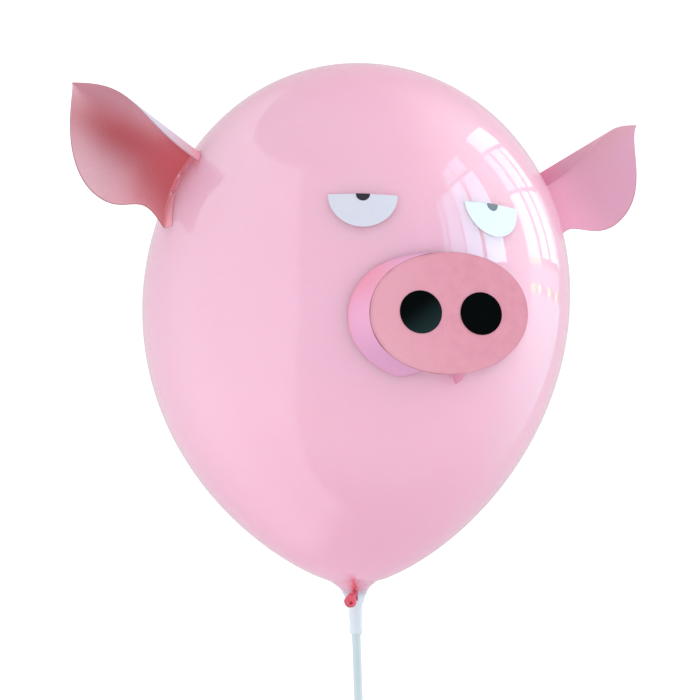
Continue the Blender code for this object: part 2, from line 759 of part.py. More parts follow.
def add_ear(side, label, collection, parent, material):
    def place(across, along):
        share = 2 * across - 1
        start = foot_of(share, side)
        return rolled_leaf(start + (LEAF_LENGTH - start) * along, share, side)

    graph = sheet_graph(EAR_COLUMNS, EAR_ROWS, place)
    graph.verts.ensure_lookup_table()
    foot = list(graph.verts)[: EAR_COLUMNS + 1]
    for tab in EAR_TABS:
        first, last = round(tab.start * EAR_COLUMNS), round(tab.end * EAR_COLUMNS)
        edges = [graph.edges.get((foot[k], foot[k + 1])) for k in range(first, last)]
        for _ in range(2):
            made = bmesh.ops.extrude_edge_only(graph, edges=edges)["geom"]
            edges = [item for item in made if isinstance(item, bmesh.types.BMEdge)]
            for vertex in (item for item in made if isinstance(item, bmesh.types.BMVert)):
                vertex.co = slid_on_balloon(vertex.co, TAB_LENGTH / 2, tab.fall, side)
    ear = add_object(f"ear_{label}", close_sheet(graph, f"ear_{label}"), collection, parent, material)
    thicken(ear, PAPER_THICKNESS)
    shade(ear)
    return ear


# Lying pose


def stick_end():
    length = STICK_LENGTH - stick_top()
    return CUP_SIDE + length * math.sin(STICK_LEAN), cup_seat() - length * math.cos(STICK_LEAN)


def lowest_turn(tilt):
    # Turn of the outline's point that is lowest when the balloon lies on its back
    radius, height = balloon_outline(OUTLINE_TURNS)
    return OUTLINE_TURNS[np.argmin(height * math.sin(tilt) - radius * math.cos(tilt))]


def stick_above_floor(tilt):
    radius, height = balloon_outline(lowest_turn(tilt))
    floor = height * math.sin(tilt) - radius * math.cos(tilt) + FLAT_SPOT_DEPTH
    level = math.sin(tilt) * math.cos(STICK_LEAN)
    lowest = stick_end()[1] * math.sin(tilt) - STICK_DIAMETER / 2 * math.sqrt(1 - level * level)
    return lowest - floor


def lying_tilt():
    # The head's rise at which the stick's lower end comes down to the plane of the flat spot
    low, high = 0.0, math.radians(60)
    for _ in range(60):
        middle = (low + high) / 2
        if stick_above_floor(middle) > 0:
            low = middle
        else:
            high = middle
    return low


def lay_down(pose):
    tilt = lying_tilt()
    radius, height = balloon_outline(lowest_turn(tilt))
    turn = Matrix.Rotation(tilt - math.pi / 2, 3, "X")
    lowest = turn @ Vector((axis_shift(height), radius, height))
    pose.rotation_euler = turn.to_euler()
    pose.location = Vector((0.0, 0.0, -FLAT_SPOT_DEPTH)) - lowest


def main():
    clear_scene()
    collection = new_collection("Pig balloon")
    cutters = new_collection("Cutters")
    latex = new_material("pink latex", (0.90, 0.52, 0.65), 0.15)
    plastic = new_material("white plastic", (0.80, 0.86, 0.90), 0.35, 0.3)
    snout_paper = new_material("pink card", (0.78, 0.34, 0.44), 0.75)
    band_paper = new_material("pale pink card", (0.82, 0.42, 0.58), 0.75)
    ear_paper = new_material("rose card", (0.74, 0.36, 0.46), 0.75)
    white_paper = new_material("white card", (0.85, 0.88, 0.92), 0.6)
    black_paper = new_material("black card", (0.012, 0.012, 0.015), 0.6)
    grey_paper = new_material("dark card", (0.045, 0.035, 0.06), 0.5)

    pose = new_empty("lying_pose", collection)
    cup_frame = new_empty("cup_frame", collection, pose)
    cup_frame.location = (CUP_SIDE, 0.0, cup_seat())
    cup_frame.rotation_euler = (0.0, -STICK_LEAN, 0.0)
    lay_down(pose)

    add_balloon(collection, cutters, pose, cup_frame, latex)
    add_cup(collection, cutters, cup_frame, plastic)
    add_stick(collection, cup_frame, plastic)
    add_band(collection, pose, band_paper)
    card = add_card(collection, pose, snout_paper)
    add_nostrils(collection, card, black_paper)
    add_eyes(collection, pose, white_paper, grey_paper)
    for side, label in ((-1, "right"), (1, "left")):
        add_ear(side, label, collection, pose, ear_paper)
    bpy.context.view_layer.update()


main()
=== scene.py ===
import bmesh
import bpy
import numpy as np
from mathutils import Matrix
from numpy import cos, exp, pi, radians, sin, sqrt, tanh


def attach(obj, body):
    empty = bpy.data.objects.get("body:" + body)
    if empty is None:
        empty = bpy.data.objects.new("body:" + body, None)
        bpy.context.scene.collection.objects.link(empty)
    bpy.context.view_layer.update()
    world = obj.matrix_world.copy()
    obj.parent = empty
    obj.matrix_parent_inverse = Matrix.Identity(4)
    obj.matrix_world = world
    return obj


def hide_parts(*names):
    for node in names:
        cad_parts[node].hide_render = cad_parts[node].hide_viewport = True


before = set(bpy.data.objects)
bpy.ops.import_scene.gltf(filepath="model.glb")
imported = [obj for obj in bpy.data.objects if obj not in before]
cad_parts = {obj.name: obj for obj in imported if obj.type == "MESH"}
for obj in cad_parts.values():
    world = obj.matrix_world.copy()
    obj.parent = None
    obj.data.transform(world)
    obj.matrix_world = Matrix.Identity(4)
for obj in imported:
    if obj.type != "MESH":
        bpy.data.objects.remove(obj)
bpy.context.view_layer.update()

# Pig balloon: a latex balloon on a cup and stick, with a snout, eyes and ears of card, lying on its back.
# Shapes are made upright around the balloon's centre, crown at +Z and face at -Y, and then laid down as
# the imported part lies. Sizes are in metres. Right and left are the pig's own.

print("frame loaded with", len(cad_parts), "nodes")

gap = 0.0003  # kept between two pieces that touch
paper = 0.0003  # thickness of the card
glue = 0.0001  # kept under a flat piece of card


# Steps, curves and turns


def shares(count):
    # Even steps from 0 to 1
    return np.linspace(0, 1, count)


def circle(count):
    # Angles all the way round, in one row
    return np.linspace(0, 2 * pi, count, endpoint=False)[None, :]


def nearest(angle):
    # The same angle, between minus half a turn and half a turn
    return np.angle(exp(1j * angle))


def softStep(value, start, end):
    # 0 before the start and 1 past the end, with soft corners
    share = np.clip((value - start) / (end - start), 0, 1)
    return share * share * (3 - 2 * share)


def bell(value, width):
    # A bell curve: e to the power of minus the square of the value over its width
    return exp(-((value / width) ** 2))


def stacked(*parts):
    # Points from their coordinates, which are spread to one shape
    return np.stack(np.broadcast_arrays(*parts), axis=-1)


def unit(vectors):
    # Each vector over its own length, which is kept off zero
    return vectors / (np.linalg.norm(vectors, axis=-1, keepdims=True) + 1e-15)


def turnBy(angle, axis):
    # A turn about one of the three axes, as a matrix
    return np.array(Matrix.Rotation(angle, 3, axis))


def halved(holds, low, high):
    # Halving: the low end moves to the middle wherever the test holds there, elsewhere the high end does
    for _ in range(60):
        middle = (low + high) / 2
        free = holds(middle)
        low, high = np.where(free, middle, low), np.where(free, high, middle)
    return low


# Balloon outline and lying pose

balloonShape = dict(
    diameter=0.300, height=0.366, radiusWaves=(1, 0.1486, -0.0793, 0.0056),
    heightWaves=(0.0518, -0.0456), axisBend=(0.0044, -0.0012), axisBendSpan=0.965, flatSpotDepth=0.0030,
)
halfHeight = balloonShape["height"] / 2


def outlineAt(turn):
    # Radius: a sum of sines of the turn, twice the turn and so on. Height: its cosine, with two smaller
    # waves that push the widest place up and stretch the lower end.
    wide, tall = balloonShape["radiusWaves"], balloonShape["heightWaves"]
    radius = sum(share * sin((k + 1) * turn) for k, share in enumerate(wide))
    height = cos(turn) + tall[0] * (cos(2 * turn) - 1) + tall[1] * (cos(3 * turn) - cos(turn))
    return radius, height


outlineTurns = np.linspace(0, pi, 1441)
outlinePeak = outlineAt(outlineTurns)[0].max()


def balloonOutline(turn):
    # The outline at its real size, the turn running from 0 at the crown to pi at the lower pole
    radius, height = outlineAt(turn)
    return radius / outlinePeak * balloonShape["diameter"] / 2, height * halfHeight


outlineRadii, outlineHeights = balloonOutline(outlineTurns)


def radiusAt(height):
    # The outline's radius, read between its steps, and nothing past either pole
    return np.interp(height, outlineHeights[::-1], outlineRadii[::-1], left=0, right=0)


def axisShift(height):
    # The axis bends sideways as a line times one minus the square of the height's share
    level = height / (balloonShape["axisBendSpan"] * halfHeight)
    slope, start = balloonShape["axisBend"]
    return (slope * level + start) * (1 - level * level)


def balloonPoint(azimuth, height, lift=0):
    # A point of the turned outline, moved out along the normal by the lift
    radius, step = radiusAt(height), 0.001
    slope = (radiusAt(height + step) - radiusAt(height - step)) / (2 * step)
    normal = unit(stacked(sin(azimuth), -cos(azimuth), -slope))
    surface = stacked(radius * sin(azimuth) + axisShift(height), -radius * cos(azimuth), height)
    return surface + np.asarray(lift)[..., None] * normal


def outside(points):
    # Level distance from the balloon's surface, positive outside
    height = points[..., 2]
    return np.hypot(points[..., 0] - axisShift(height), points[..., 1]) - radiusAt(height)


def azimuthOf(points):
    # Angle around the balloon's axis, 0 at the face
    return np.arctan2(points[..., 0] - axisShift(points[..., 2]), -points[..., 1])


cup = dict(
    side=0.0017, rimDiameter=0.0336, depth=0.0145, flareLength=0.0067, wall=0.0008, sleeveWall=0.0013,
    sleeveLength=0.0214, sleeveTaper=0.0004, sleeveChamfer=0.0006, slots=4, slotDepth=0.0125,
    slotWidth=0.0038, slotAzimuth=radians(-18), colour=(0.69, 0.79, 0.885),
    cloudy=(0.74, 0.83, 0.905), rimVeil=0.07, sleeveVeil=0.96, roughness=0.28,
)
stick = dict(
    diameter=0.0060, wall=0.0006, length=0.320, seat=0.018, chamfer=0.00012, lean=radians(3.2),
    colour=(0.53, 0.675, 0.715), cloudy=(0.59, 0.725, 0.755), roughness=0.30,
)
stickTop = -cup["depth"] - cup["sleeveLength"] + stick["seat"]
sleeveBore = stick["diameter"] / 2 + gap
sleeveRadius = sleeveBore + cup["sleeveWall"]


def ringPoints(radius, height, azimuth, axis=0):
    # Circles of the given radii around an upright axis, one row for each height
    return stacked(axis + radius * sin(azimuth), -radius * cos(azimuth), height[:, None])


def seated(points, height):
    # From the cup's own frame, origin in the rim's middle, to the upright balloon's, the rim at a height
    return points @ turnBy(-stick["lean"], "Y").T + (cup["side"], 0, height)


def cupSeat():
    # Height of the rim at which the leaning rim just clears the balloon
    rim = ringPoints(cup["rimDiameter"] / 2, np.zeros(1), circle(180))

    def clears(height):
        return (outside(seated(rim, height)) > gap * 2).all() or height < -halfHeight

    return halved(clears, -2 * halfHeight, 0)


seatHeight = cupSeat()


def lowestPoint(tilt):
    # Radius and height of the outline's lowest point at a tilt, and the level of the flat spot there
    level = outlineHeights * sin(tilt) - outlineRadii * cos(tilt)
    lowest = np.argmin(level)
    return outlineRadii[lowest], outlineHeights[lowest], level[lowest] + balloonShape["flatSpotDepth"]


def stickAboveFloor(tilt):
    # Height of the stick's lower end over the plane of the flat spot
    endHeight = seatHeight - (stick["length"] - stickTop) * cos(stick["lean"])
    level = sin(tilt) * cos(stick["lean"])
    return endHeight * sin(tilt) - stick["diameter"] / 2 * sqrt(1 - level * level) - lowestPoint(tilt)[2]


def lyingPose():
    # The tilt at which balloon and stick both touch the floor, with the flat spot's middle at the origin
    tilt = halved(lambda middle: stickAboveFloor(middle) > 0, 0, radians(60))
    radius, height, _ = lowestPoint(tilt)
    turn = turnBy(tilt - pi / 2, "X")
    lowest = turn @ np.array((axisShift(height), radius, height))
    return turn, (0, 0, -balloonShape["flatSpotDepth"]) - lowest


poseTurn, poseShift = lyingPose()


def layDown(points):
    # From upright to lying: turned by the tilt, then shifted
    return points @ poseTurn.T + poseShift


def fromCup(points):
    # From the cup's own frame to the upright balloon's, the cup in its seat
    return seated(points, seatHeight)


# Mesh helpers


def gridCells(rows, columns, wrap):
    # Each cell's four corners: its own point, then across, down and back
    row = np.arange(rows - 1)[:, None]
    column = np.arange(columns if wrap else columns - 1)[None, :]
    after = (column + 1) % columns
    here, below = row * columns, (row + 1) * columns
    return stacked(here + column, here + after, below + after, below + column)


def wallFaces(rows, columns, wrap, keep):
    # The kept cells, the same on the second layer, and a strip between the layers along their border
    cells = gridCells(rows, columns, wrap)
    layer = rows * columns
    framed = np.pad(keep, 1)
    if wrap:
        framed[:, 0], framed[:, -1] = framed[:, -2].copy(), framed[:, 1].copy()
    faces = [cells[keep], cells[keep][:, ::-1] + layer]
    for k, (down, across) in enumerate(((-1, 0), (0, 1), (1, 0), (0, -1))):
        neighbour = framed[1 + down:1 + down + keep.shape[0], 1 + across:1 + across + keep.shape[1]]
        border = cells[keep & ~neighbour]
        first, second = border[:, k], border[:, (k + 1) % 4]
        faces.append(np.stack([second, first, first + layer, second + layer], axis=-1))
    return np.vstack(faces)


def addObject(name, data, axes=None, place=None):
    # A new object of the scene, with its axes in columns and its place where it has them
    made = bpy.data.objects.new(name, data)
    bpy.context.scene.collection.objects.link(made)
    if axes is not None:
        world = Matrix(axes.tolist()).to_4x4()
        world.translation = place
        made.matrix_world = world
    return made


def makePiece(name, points, faces, material, replaced, flat=None, values=None, sharpAngle=35):
    # points (n, 3) in the upright frame and faces (m, 4); flat gives each corner's place on the flat sheet
    used, faces = np.unique(faces, return_inverse=True)
    faces = faces.reshape(-1, 4)
    mesh = bpy.data.meshes.new(name)
    mesh.from_pydata(layDown(points[used]).tolist(), [], faces.tolist())
    if flat is not None:
        mesh.uv_layers.new(name="sheet").data.foreach_set("uv", flat[used][faces].ravel())
    for label, value in (values or {}).items():
        mesh.attributes.new(label, "FLOAT", "POINT").data.foreach_set("value", value[used].ravel())
    graph = bmesh.new()
    graph.from_mesh(mesh)
    bmesh.ops.remove_doubles(graph, verts=graph.verts, dist=0.000001)
    bmesh.ops.recalc_face_normals(graph, faces=graph.faces)
    graph.to_mesh(mesh)
    graph.free()
    mesh.shade_smooth()
    mesh.set_sharp_from_angle(angle=radians(sharpAngle))
    mesh.materials.append(material)
    piece = addObject(name, mesh)
    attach(piece, "root")
    if replaced:
        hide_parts(replaced)
    print("made", name, len(mesh.polygons), "faces")


def makeSheet(name, points, offset, flat, material, replaced, values=None, wrap=False, keep=None):
    # A sheet of card: a grid of points, moved to both sides by the offset. A value is the same on both
    # layers, or a pair of one for each.
    rows, columns = points.shape[:2]
    if keep is None:
        keep = np.ones((rows - 1, columns if wrap else columns - 1), dtype=bool)
    layers = np.vstack([(points + side * offset).reshape(-1, 3) for side in (1, -1)])
    both = {}
    for label, value in (values or {}).items():
        pair = value if isinstance(value, tuple) else (value, value)
        both[label] = np.concatenate([layer.ravel() for layer in pair])
    faces = wallFaces(rows, columns, wrap, keep)
    makePiece(name, layers, faces, material, replaced, np.vstack([flat.reshape(-1, 2)] * 2), both)


def halfPaper(points):
    # Half the card's thickness along the normal, the cross product of the steps across and down
    return unit(np.cross(np.gradient(points, axis=1), np.gradient(points, axis=0))) * paper / 2


# Materials


def newMaterial(name, look, sockets=None):
    # A plain surface in the look's colour, with any other socket of its shader by name
    material = bpy.data.materials.new(name)
    material.use_nodes = True
    shader = material.node_tree.nodes["Principled BSDF"]
    shader.inputs["Base Color"].default_value = material.diffuse_color = (*look["colour"], 1)
    shader.inputs["Roughness"].default_value = look["roughness"]
    for socket, value in (sockets or {}).items():
        shader.inputs[socket].default_value = value
    return material, material.node_tree, shader


def putIn(tree, socket, value):
    # A socket takes another node's output, a colour or a plain value
    if isinstance(value, bpy.types.NodeSocket):
        tree.links.new(value, socket)
    else:
        socket.default_value = (*value, 1) if socket.type == "RGBA" else value


def addNode(tree, kind, inputs=None, **settings):
    # inputs maps a socket's name or number to what goes in
    node = tree.nodes.new("ShaderNode" + kind)
    for key, value in settings.items():
        setattr(node, key, value)
    for key, value in (inputs or {}).items():
        putIn(tree, node.inputs[key], value)
    return node


def attribute(tree, name):
    # A piece's own values, which were given to its points
    return addNode(tree, "Attribute", attribute_name=name).outputs["Fac"]


def objectPlace(tree):
    # The shaded point's place
    return addNode(tree, "TexCoord").outputs["Object"]


def combine(tree, first, second, operation="MULTIPLY", **settings):
    # The product of two values, or another operation on them
    return addNode(tree, "Math", {0: first, 1: second}, operation=operation, **settings).outputs[0]


def noise(tree, place, scale, detail=3, rough=0.55, stretch=(1, 1, 1)):
    # Soft noise over places that are first stretched along each axis
    mapping = addNode(tree, "Mapping", {"Vector": place, "Scale": stretch})
    inputs = {"Vector": mapping.outputs[0], "Scale": scale, "Detail": detail, "Roughness": rough}
    return addNode(tree, "TexNoise", inputs).outputs["Fac"]


def spread(tree, value, low, high, outLow=0, outHigh=1):
    # Stretches a value from low..high to outLow..outHigh, with soft ends
    inputs = {0: value, 1: low, 2: high, 3: outLow, 4: outHigh}
    return addNode(tree, "MapRange", inputs, interpolation_type="SMOOTHSTEP").outputs[0]


def blendColours(tree, factor, first, second):
    # The first colour where the factor is 0, the second where it is 1
    return addNode(tree, "Mix", {0: factor, 6: first, 7: second}, data_type="RGBA").outputs[2]


def addBump(tree, shader, height, strength, distance):
    # Fine relief, as high as the value times the distance
    made = addNode(tree, "Bump", {"Strength": strength, "Distance": distance, "Height": height})
    tree.links.new(made.outputs[0], shader.inputs["Normal"])


smoothCard = {"mottling": 0.5, "fibres": 0.2}


def cardMaterial(name, look, tints=(), mottling=0.6, fibres=0.35, cloudScale=70, sockets=None):
    # Card: cloudy mottling a centimetre wide, and short paper fibres in colour and relief. A tint is the
    # name of an attribute, and of the look's colour that the card has where it is 1.
    material, tree, shader = newMaterial(name, {"roughness": 0.85, **look}, sockets)
    sheet = addNode(tree, "UVMap", uv_map="sheet").outputs[0]
    clouds = spread(tree, noise(tree, sheet, cloudScale, 4, 0.6), 0.35, 0.68)
    specks = noise(tree, sheet, 900, 3, 0.65, (1, 0.35, 1))
    threads = noise(tree, sheet, 1500, 2, 0.6, (0.28, 1, 1))
    base = blendColours(tree, combine(tree, clouds, mottling), look["colour"], look["mottled"])
    for label in tints:
        base = blendColours(tree, attribute(tree, label), base, look[label])
    grain = spread(tree, specks, 0.45, 0.75, 0, fibres)
    darker = addNode(tree, "HueSaturation", {"Value": 0.86, "Color": base}).outputs[0]
    putIn(tree, shader.inputs["Base Color"], blendColours(tree, grain, base, darker))
    addBump(tree, shader, combine(tree, specks, threads, "ADD"), 0.35, 0.00012)
    return material


# Balloon: one skin from the crown to the end of the neck, with a flat spot where it rests

balloonSkin = dict(
    columns=256, rows=220, cupRows=44, neckRadius=0.0042, neckStart=0.0095, neckEnd=0.0135, neckFolds=7,
    foldDepth=0.10, flatSpotSoftness=0.0006, colour=(0.835, 0.500, 0.640), lilac=(0.820, 0.515, 0.670),
    neckColour=(0.68, 0.13, 0.20), pullColour=(0.78, 0.15, 0.19), crownColour=(0.80, 0.41, 0.56),
    lowColour=(0.77, 0.41, 0.565), roughness=0.035,
)


def latexMaterial():
    # Blown-up latex: pastel with soft lilac clouds, deeper at both ends and vivid at the unblown neck
    look = balloonSkin
    material, tree, shader = newMaterial("pink latex", look, {
        "IOR": 1.5, "Subsurface Weight": 0.9, "Subsurface Radius": (0.040, 0.030, 0.034),
        "Subsurface Scale": 1,
    })
    place = objectPlace(tree)
    clouds = spread(tree, noise(tree, place, 7, 2), 0.40, 0.62, 0, 0.55)
    body = blendColours(tree, clouds, look["colour"], look["lilac"])
    level = attribute(tree, "level")
    body = blendColours(tree, spread(tree, level, 0.60, 1), body, look["crownColour"])
    body = blendColours(tree, spread(tree, level, -0.30, -0.98), body, look["lowColour"])
    for label in ("neck", "pull"):
        body = blendColours(tree, attribute(tree, label), body, look[label + "Colour"])
    putIn(tree, shader.inputs["Base Color"], body)
    addBump(tree, shader, noise(tree, place, 38, 2, 0.5), 0.02, 0.0006)
    return material


def cupRadius(depth):
    # The cup's outer side narrows as an exponential below the rim
    return sleeveRadius + (cup["rimDiameter"] / 2 - sleeveRadius) * exp(-depth / cup["flareLength"])


def makeBalloon(material):
    # Above the cup the outline is turned about the bent axis. Inside it the skin lies along the wall and
    # then bunches into the neck, whose radius waves around the axis in growing folds, and around the rim
    # the one shape blends into the other. Points under the floor are pressed up: z becomes half of z plus
    # the root of z squared plus the softness squared. The skin is red around the slot: a narrow bell curve
    # where it is drawn to the slot, and a wide one.
    look = balloonSkin
    azimuth = circle(look["columns"])
    radius, height = balloonOutline(np.linspace(0, pi, look["rows"]))
    above = np.maximum.accumulate(height[::-1] > seatHeight + 0.0002)[::-1]
    radius, height = radius[above], height[above]
    depth = np.concatenate([seatHeight - height, np.linspace(0.0002, look["neckEnd"], look["cupRows"])])
    height = seatHeight - depth
    free = np.concatenate([radius, radiusAt(height[len(radius):])])
    wall = cupRadius(np.maximum(depth, 0)) - cup["wall"] - gap - 1.2 * np.minimum(depth, 0)
    toNeck = softStep(depth, look["neckStart"], look["neckEnd"] - 0.001)
    wall = wall * (1 - toNeck) + look["neckRadius"] * toNeck
    inCup = softStep(depth, -0.003, 0.002)
    free = np.where(depth > 0.002, wall, free)

    depthRow = depth[:, None]
    fold = 1 + look["foldDepth"] * toNeck[:, None] * cos(look["neckFolds"] * azimuth + 400 * depthRow)
    outer = ringPoints(free[:, None], height, azimuth, axisShift(height)[:, None])
    inner = fromCup(ringPoints(wall[:, None] * fold, -depth, azimuth))
    points = outer + (inner - outer) * inCup[:, None, None]
    end = fromCup(np.array([0, 0, -look["neckEnd"] - 0.0006]))
    points = np.concatenate([points, np.broadcast_to(end, points[:1].shape)]).reshape(-1, 3)

    laid, soft = layDown(points), look["flatSpotSoftness"]
    low = laid[:, 2]
    pressed = np.where(low < 4 * soft, (low + sqrt(low**2 + soft**2)) / 2, low)
    laid[:, 2] = np.maximum(pressed, 0)
    points = (laid - poseShift) @ poseTurn

    away = nearest(azimuth - cup["slotAzimuth"])
    narrow = bell(away, 0.085) * softStep(depthRow, -0.0060, 0)
    wide = 0.8 * bell(away, 0.40) * softStep(depthRow, -0.0050, 0.006)
    values = {
        "level": np.repeat(np.append(height / halfHeight, -1), look["columns"]),
        "neck": np.repeat(np.append(softStep(depth, 0.006, 0.0125), 1), look["columns"]),
        "pull": np.vstack([np.maximum(narrow, wide), np.zeros((1, look["columns"]))]).ravel(),
    }
    faces = gridCells(len(depth) + 1, look["columns"], True).reshape(-1, 4)
    makePiece("balloonSkin", points, faces, material, "balloon", values=values)


# Tail: the neck pulled out through the cup's front slot, with the rolled mouth hanging from it

tail = dict(
    drop=0.0098, side=-0.0034, mouthRadius=0.0043, rollRadius=0.0017, finThickness=0.0031,
    finDepth=0.0094, grooveDepth=0.0011, strandRadius=0.0014, colour=(0.74, 0.115, 0.175),
    tailShadeColour=(0.33, 0.026, 0.054), roughness=0.26,
)


def slotPlace(out, side, height):
    # Out through the slot, sideways and up, in the cup's frame
    turn = cup["slotAzimuth"]
    return stacked(out * sin(turn) + side * cos(turn), -out * cos(turn) + side * sin(turn), height)


def tailMaterial():
    # Unblown latex: vivid and moist-looking, with painted shade in its folds, its groove, its dimple and on
    # the bead's lower right side
    material, tree, shader = newMaterial("red latex", tail, {
        "IOR": 1.5, "Subsurface Weight": 0.15, "Subsurface Radius": (0.004, 0.001, 0.001),
        "Subsurface Scale": 0.3,
    })
    place = objectPlace(tree)
    tailShade = attribute(tree, "tailShade")
    mottling = spread(tree, noise(tree, place, 420), 0.5, 0.8, 0, 0.25)
    # Painted shade in the folds, with random mottling on top
    dark = combine(tree, tailShade, mottling, "ADD", use_clamp=True)
    putIn(tree, shader.inputs["Base Color"], blendColours(tree, dark, tail["colour"], tail["tailShadeColour"]))
    addBump(tree, shader, noise(tree, place, 700), 0.3, 0.0002)
    return material


def tailFin(around):
    # Level sections as long as the cup is wide and as thick as the slot allows, rounded at the front,
    # where a groove runs down the middle
    rows = shares(30)[:, None]
    depth = 0.0001 + tail["finDepth"] * rows
    ends = sqrt(np.clip(1 - np.abs(2 * rows - 1) ** 5, 0, 1))
    reach = (cupRadius(depth) + 0.0005) * (0.5 + 0.5 * ends)
    side = tail["finThickness"] / 2 * sin(around) * ends
    squared = np.sign(cos(around)) * np.abs(cos(around)) ** 0.6
    groove = bell(sin(around), 0.28) * (cos(around) > 0) * ends
    out = reach * (1 + squared) / 2 - tail["grooveDepth"] * groove
    # The second value is painted shade down the groove
    return slotPlace(out, side + 0.0002 * sin(9 * rows), -depth), 0.8 * groove * softStep(rows, 0.3, 0.6)


def tailStrand(around, mouthOut):
    # A circle carried from the fin's front down and to the side
    share = shares(26)[:, None]
    pathOut = mouthOut * (0.72 + 0.28 * softStep(share, 0, 0.5))
    pathSide = tail["side"] * (0.05 + 0.75 * softStep(share, 0.3, 1))
    pathDown = -tail["drop"] * (0.50 + 0.62 * share)
    thick = tail["strandRadius"] * (1 + 0.35 * share) * sqrt(np.clip(1 - (2 * share - 1) ** 12, 0, 1))
    pull = 1 + 0.18 * cos(3 * around + 3 * share)
    wide = thick * pull
    points = slotPlace(pathOut + wide * cos(around), pathSide + wide * sin(around), pathDown)
    # The second value is painted shade in the strand's folds, where its section is pulled in most
    return points, np.clip(0.9 - pull, 0, 1) * 2


def tailMouth(around, mouthOut):
    # A rolled bead: a profile from a dimple over the roll to the back, turned about the way out and
    # drawn out towards the strand
    roll, profile = tail["rollRadius"], np.linspace(0, 2 * pi, 40)[:, None]
    ringRadius = tail["mouthRadius"] - roll
    rollAngle = pi + profile * 0.88
    inner = softStep(profile, 0, 0.5)
    flatRadius = np.clip(ringRadius + roll * cos(rollAngle), 0, None)
    flatRadius = flatRadius * inner * softStep(profile, 2 * pi, 2 * pi - 0.5)
    lift = -roll * sin(rollAngle) - 0.0004 * (1 - inner)
    ripples = 1 + 0.015 * cos(5 * around + 0.6) + 0.01 * cos(9 * around)
    wide = flatRadius * ripples * (1 + 0.34 * bell(nearest(around - 0.25), 0.55))
    dimple = 0.0014 * (1 - softStep(flatRadius, 0, 0.0030))
    points = slotPlace(
        mouthOut + lift * (1 + 0.1 * cos(3 * around)), tail["side"] + dimple * 0.4 + wide * sin(around),
        -tail["drop"] - ringRadius * 1.05 - dimple + wide * cos(around),
    )
    # Painted shade in the dimple's middle and on the bead's lower right side
    shaded = softStep(cos(around - 4), 0.1, 1) * softStep(flatRadius, 0.0024, 0.0042)
    return points, np.clip(0.9 * (1 - softStep(flatRadius, 0, 0.0012)) + 0.6 * shaded, 0, 1)


def makeTail(material):
    # Fin, strand and mouth in one mesh, with the painted shade of each place of their folds
    around = circle(48)
    mouthOut = cupRadius(tail["drop"] - 2 * tail["rollRadius"]) + gap + tail["rollRadius"]
    points, tailShades, faces, count = [], [], [], 0
    for grid, tailShade in (tailFin(around), tailStrand(around, mouthOut), tailMouth(around, mouthOut)):
        points.append(grid.reshape(-1, 3))
        tailShades.append(np.broadcast_to(tailShade, grid.shape[:2]).ravel())
        faces.append(gridCells(len(grid), grid.shape[1], True).reshape(-1, 4) + count)
        count += len(points[-1])
    values = {"tailShade": np.concatenate(tailShades)}
    points, faces = fromCup(np.vstack(points)), np.vstack(faces)
    makePiece("balloonTail", points, faces, material, None, values=values, sharpAngle=80)


# Cup and stick


def plasticMaterial(name, look):
    # Cloudy white plastic with faint flow marks. The attribute "veil" says how little shows through.
    material, tree, shader = newMaterial(name, look, {"IOR": 1.49})
    flow = noise(tree, objectPlace(tree), 160, 3, 0.6, (1, 0.15, 1))
    rough = spread(tree, flow, 0.3, 0.7, look["roughness"] - 0.06, look["roughness"] + 0.08)
    putIn(tree, shader.inputs["Roughness"], rough)
    putIn(tree, shader.inputs["Base Color"], blendColours(tree, flow, look["colour"], look["cloudy"]))
    addBump(tree, shader, flow, 0.12, 0.0002)
    if "rimVeil" in look:
        putIn(tree, shader.inputs["Alpha"], attribute(tree, "veil"))
    return material


def makeCup(material):
    # Outer side: the cup's curve, then the sleeve with its chamfer. Inner side: the same less the wall,
    # never under the bore. Columns end at the slots' sides, and the slots' cells are left out. The veil
    # grows down the cup and is thinner by the front slot, along a bell curve of the angle.
    flare = np.sort(np.append(shares(29) * cup["depth"], cup["slotDepth"]))
    top, bottom = cup["depth"], cup["depth"] + cup["sleeveLength"]
    straight = np.array([top + 0.0012, top + 0.006, bottom - 0.006, bottom - cup["sleeveChamfer"], bottom])
    taper = np.interp(straight, (top, bottom), (0, cup["sleeveTaper"]))
    taper[-1] += cup["sleeveChamfer"]
    outer = np.concatenate([cupRadius(flare), sleeveRadius + 0.0001 - taper])
    inner = np.append(np.maximum(cupRadius(flare) - cup["wall"], sleeveBore), sleeveBore + 0 * straight)
    depth = np.concatenate([flare, straight])

    slots, slotCells, cells = cup["slots"], 4, np.arange(30)
    half = np.arcsin(cup["slotWidth"] / 2 / cupRadius(np.minimum(depth, cup["slotDepth"])))
    corners, sector = (0, slotCells, len(cells)), 2 * pi / slots
    oneSector = np.array([np.interp(cells, corners, (-side, side, sector - side)) for side in half])
    angle = np.hstack([oneSector + k * sector for k in range(slots)]) + cup["slotAzimuth"]
    keep = (depth[:-1, None] > cup["slotDepth"] - 1e-6) | (np.tile(cells, slots) >= slotCells)

    points = [ringPoints(radius[:, None], -depth, angle).reshape(-1, 3) for radius in (outer, inner)]
    veil = cup["rimVeil"] + (cup["sleeveVeil"] - cup["rimVeil"]) * softStep(depth, 0.0035, 0.0120)
    away = nearest(angle - cup["slotAzimuth"] + 0.2)
    clearer = 0.55 * bell(away, 0.42) * softStep(depth, 0.0125, 0.0085)[:, None]
    values = {"veil": np.tile((veil[:, None] * (1 - clearer)).ravel(), 2)}
    makePiece(
        "cupShell", fromCup(np.vstack(points)), wallFaces(*angle.shape, True, keep), material,
        "balloon_cup", values=values, sharpAngle=50
    )


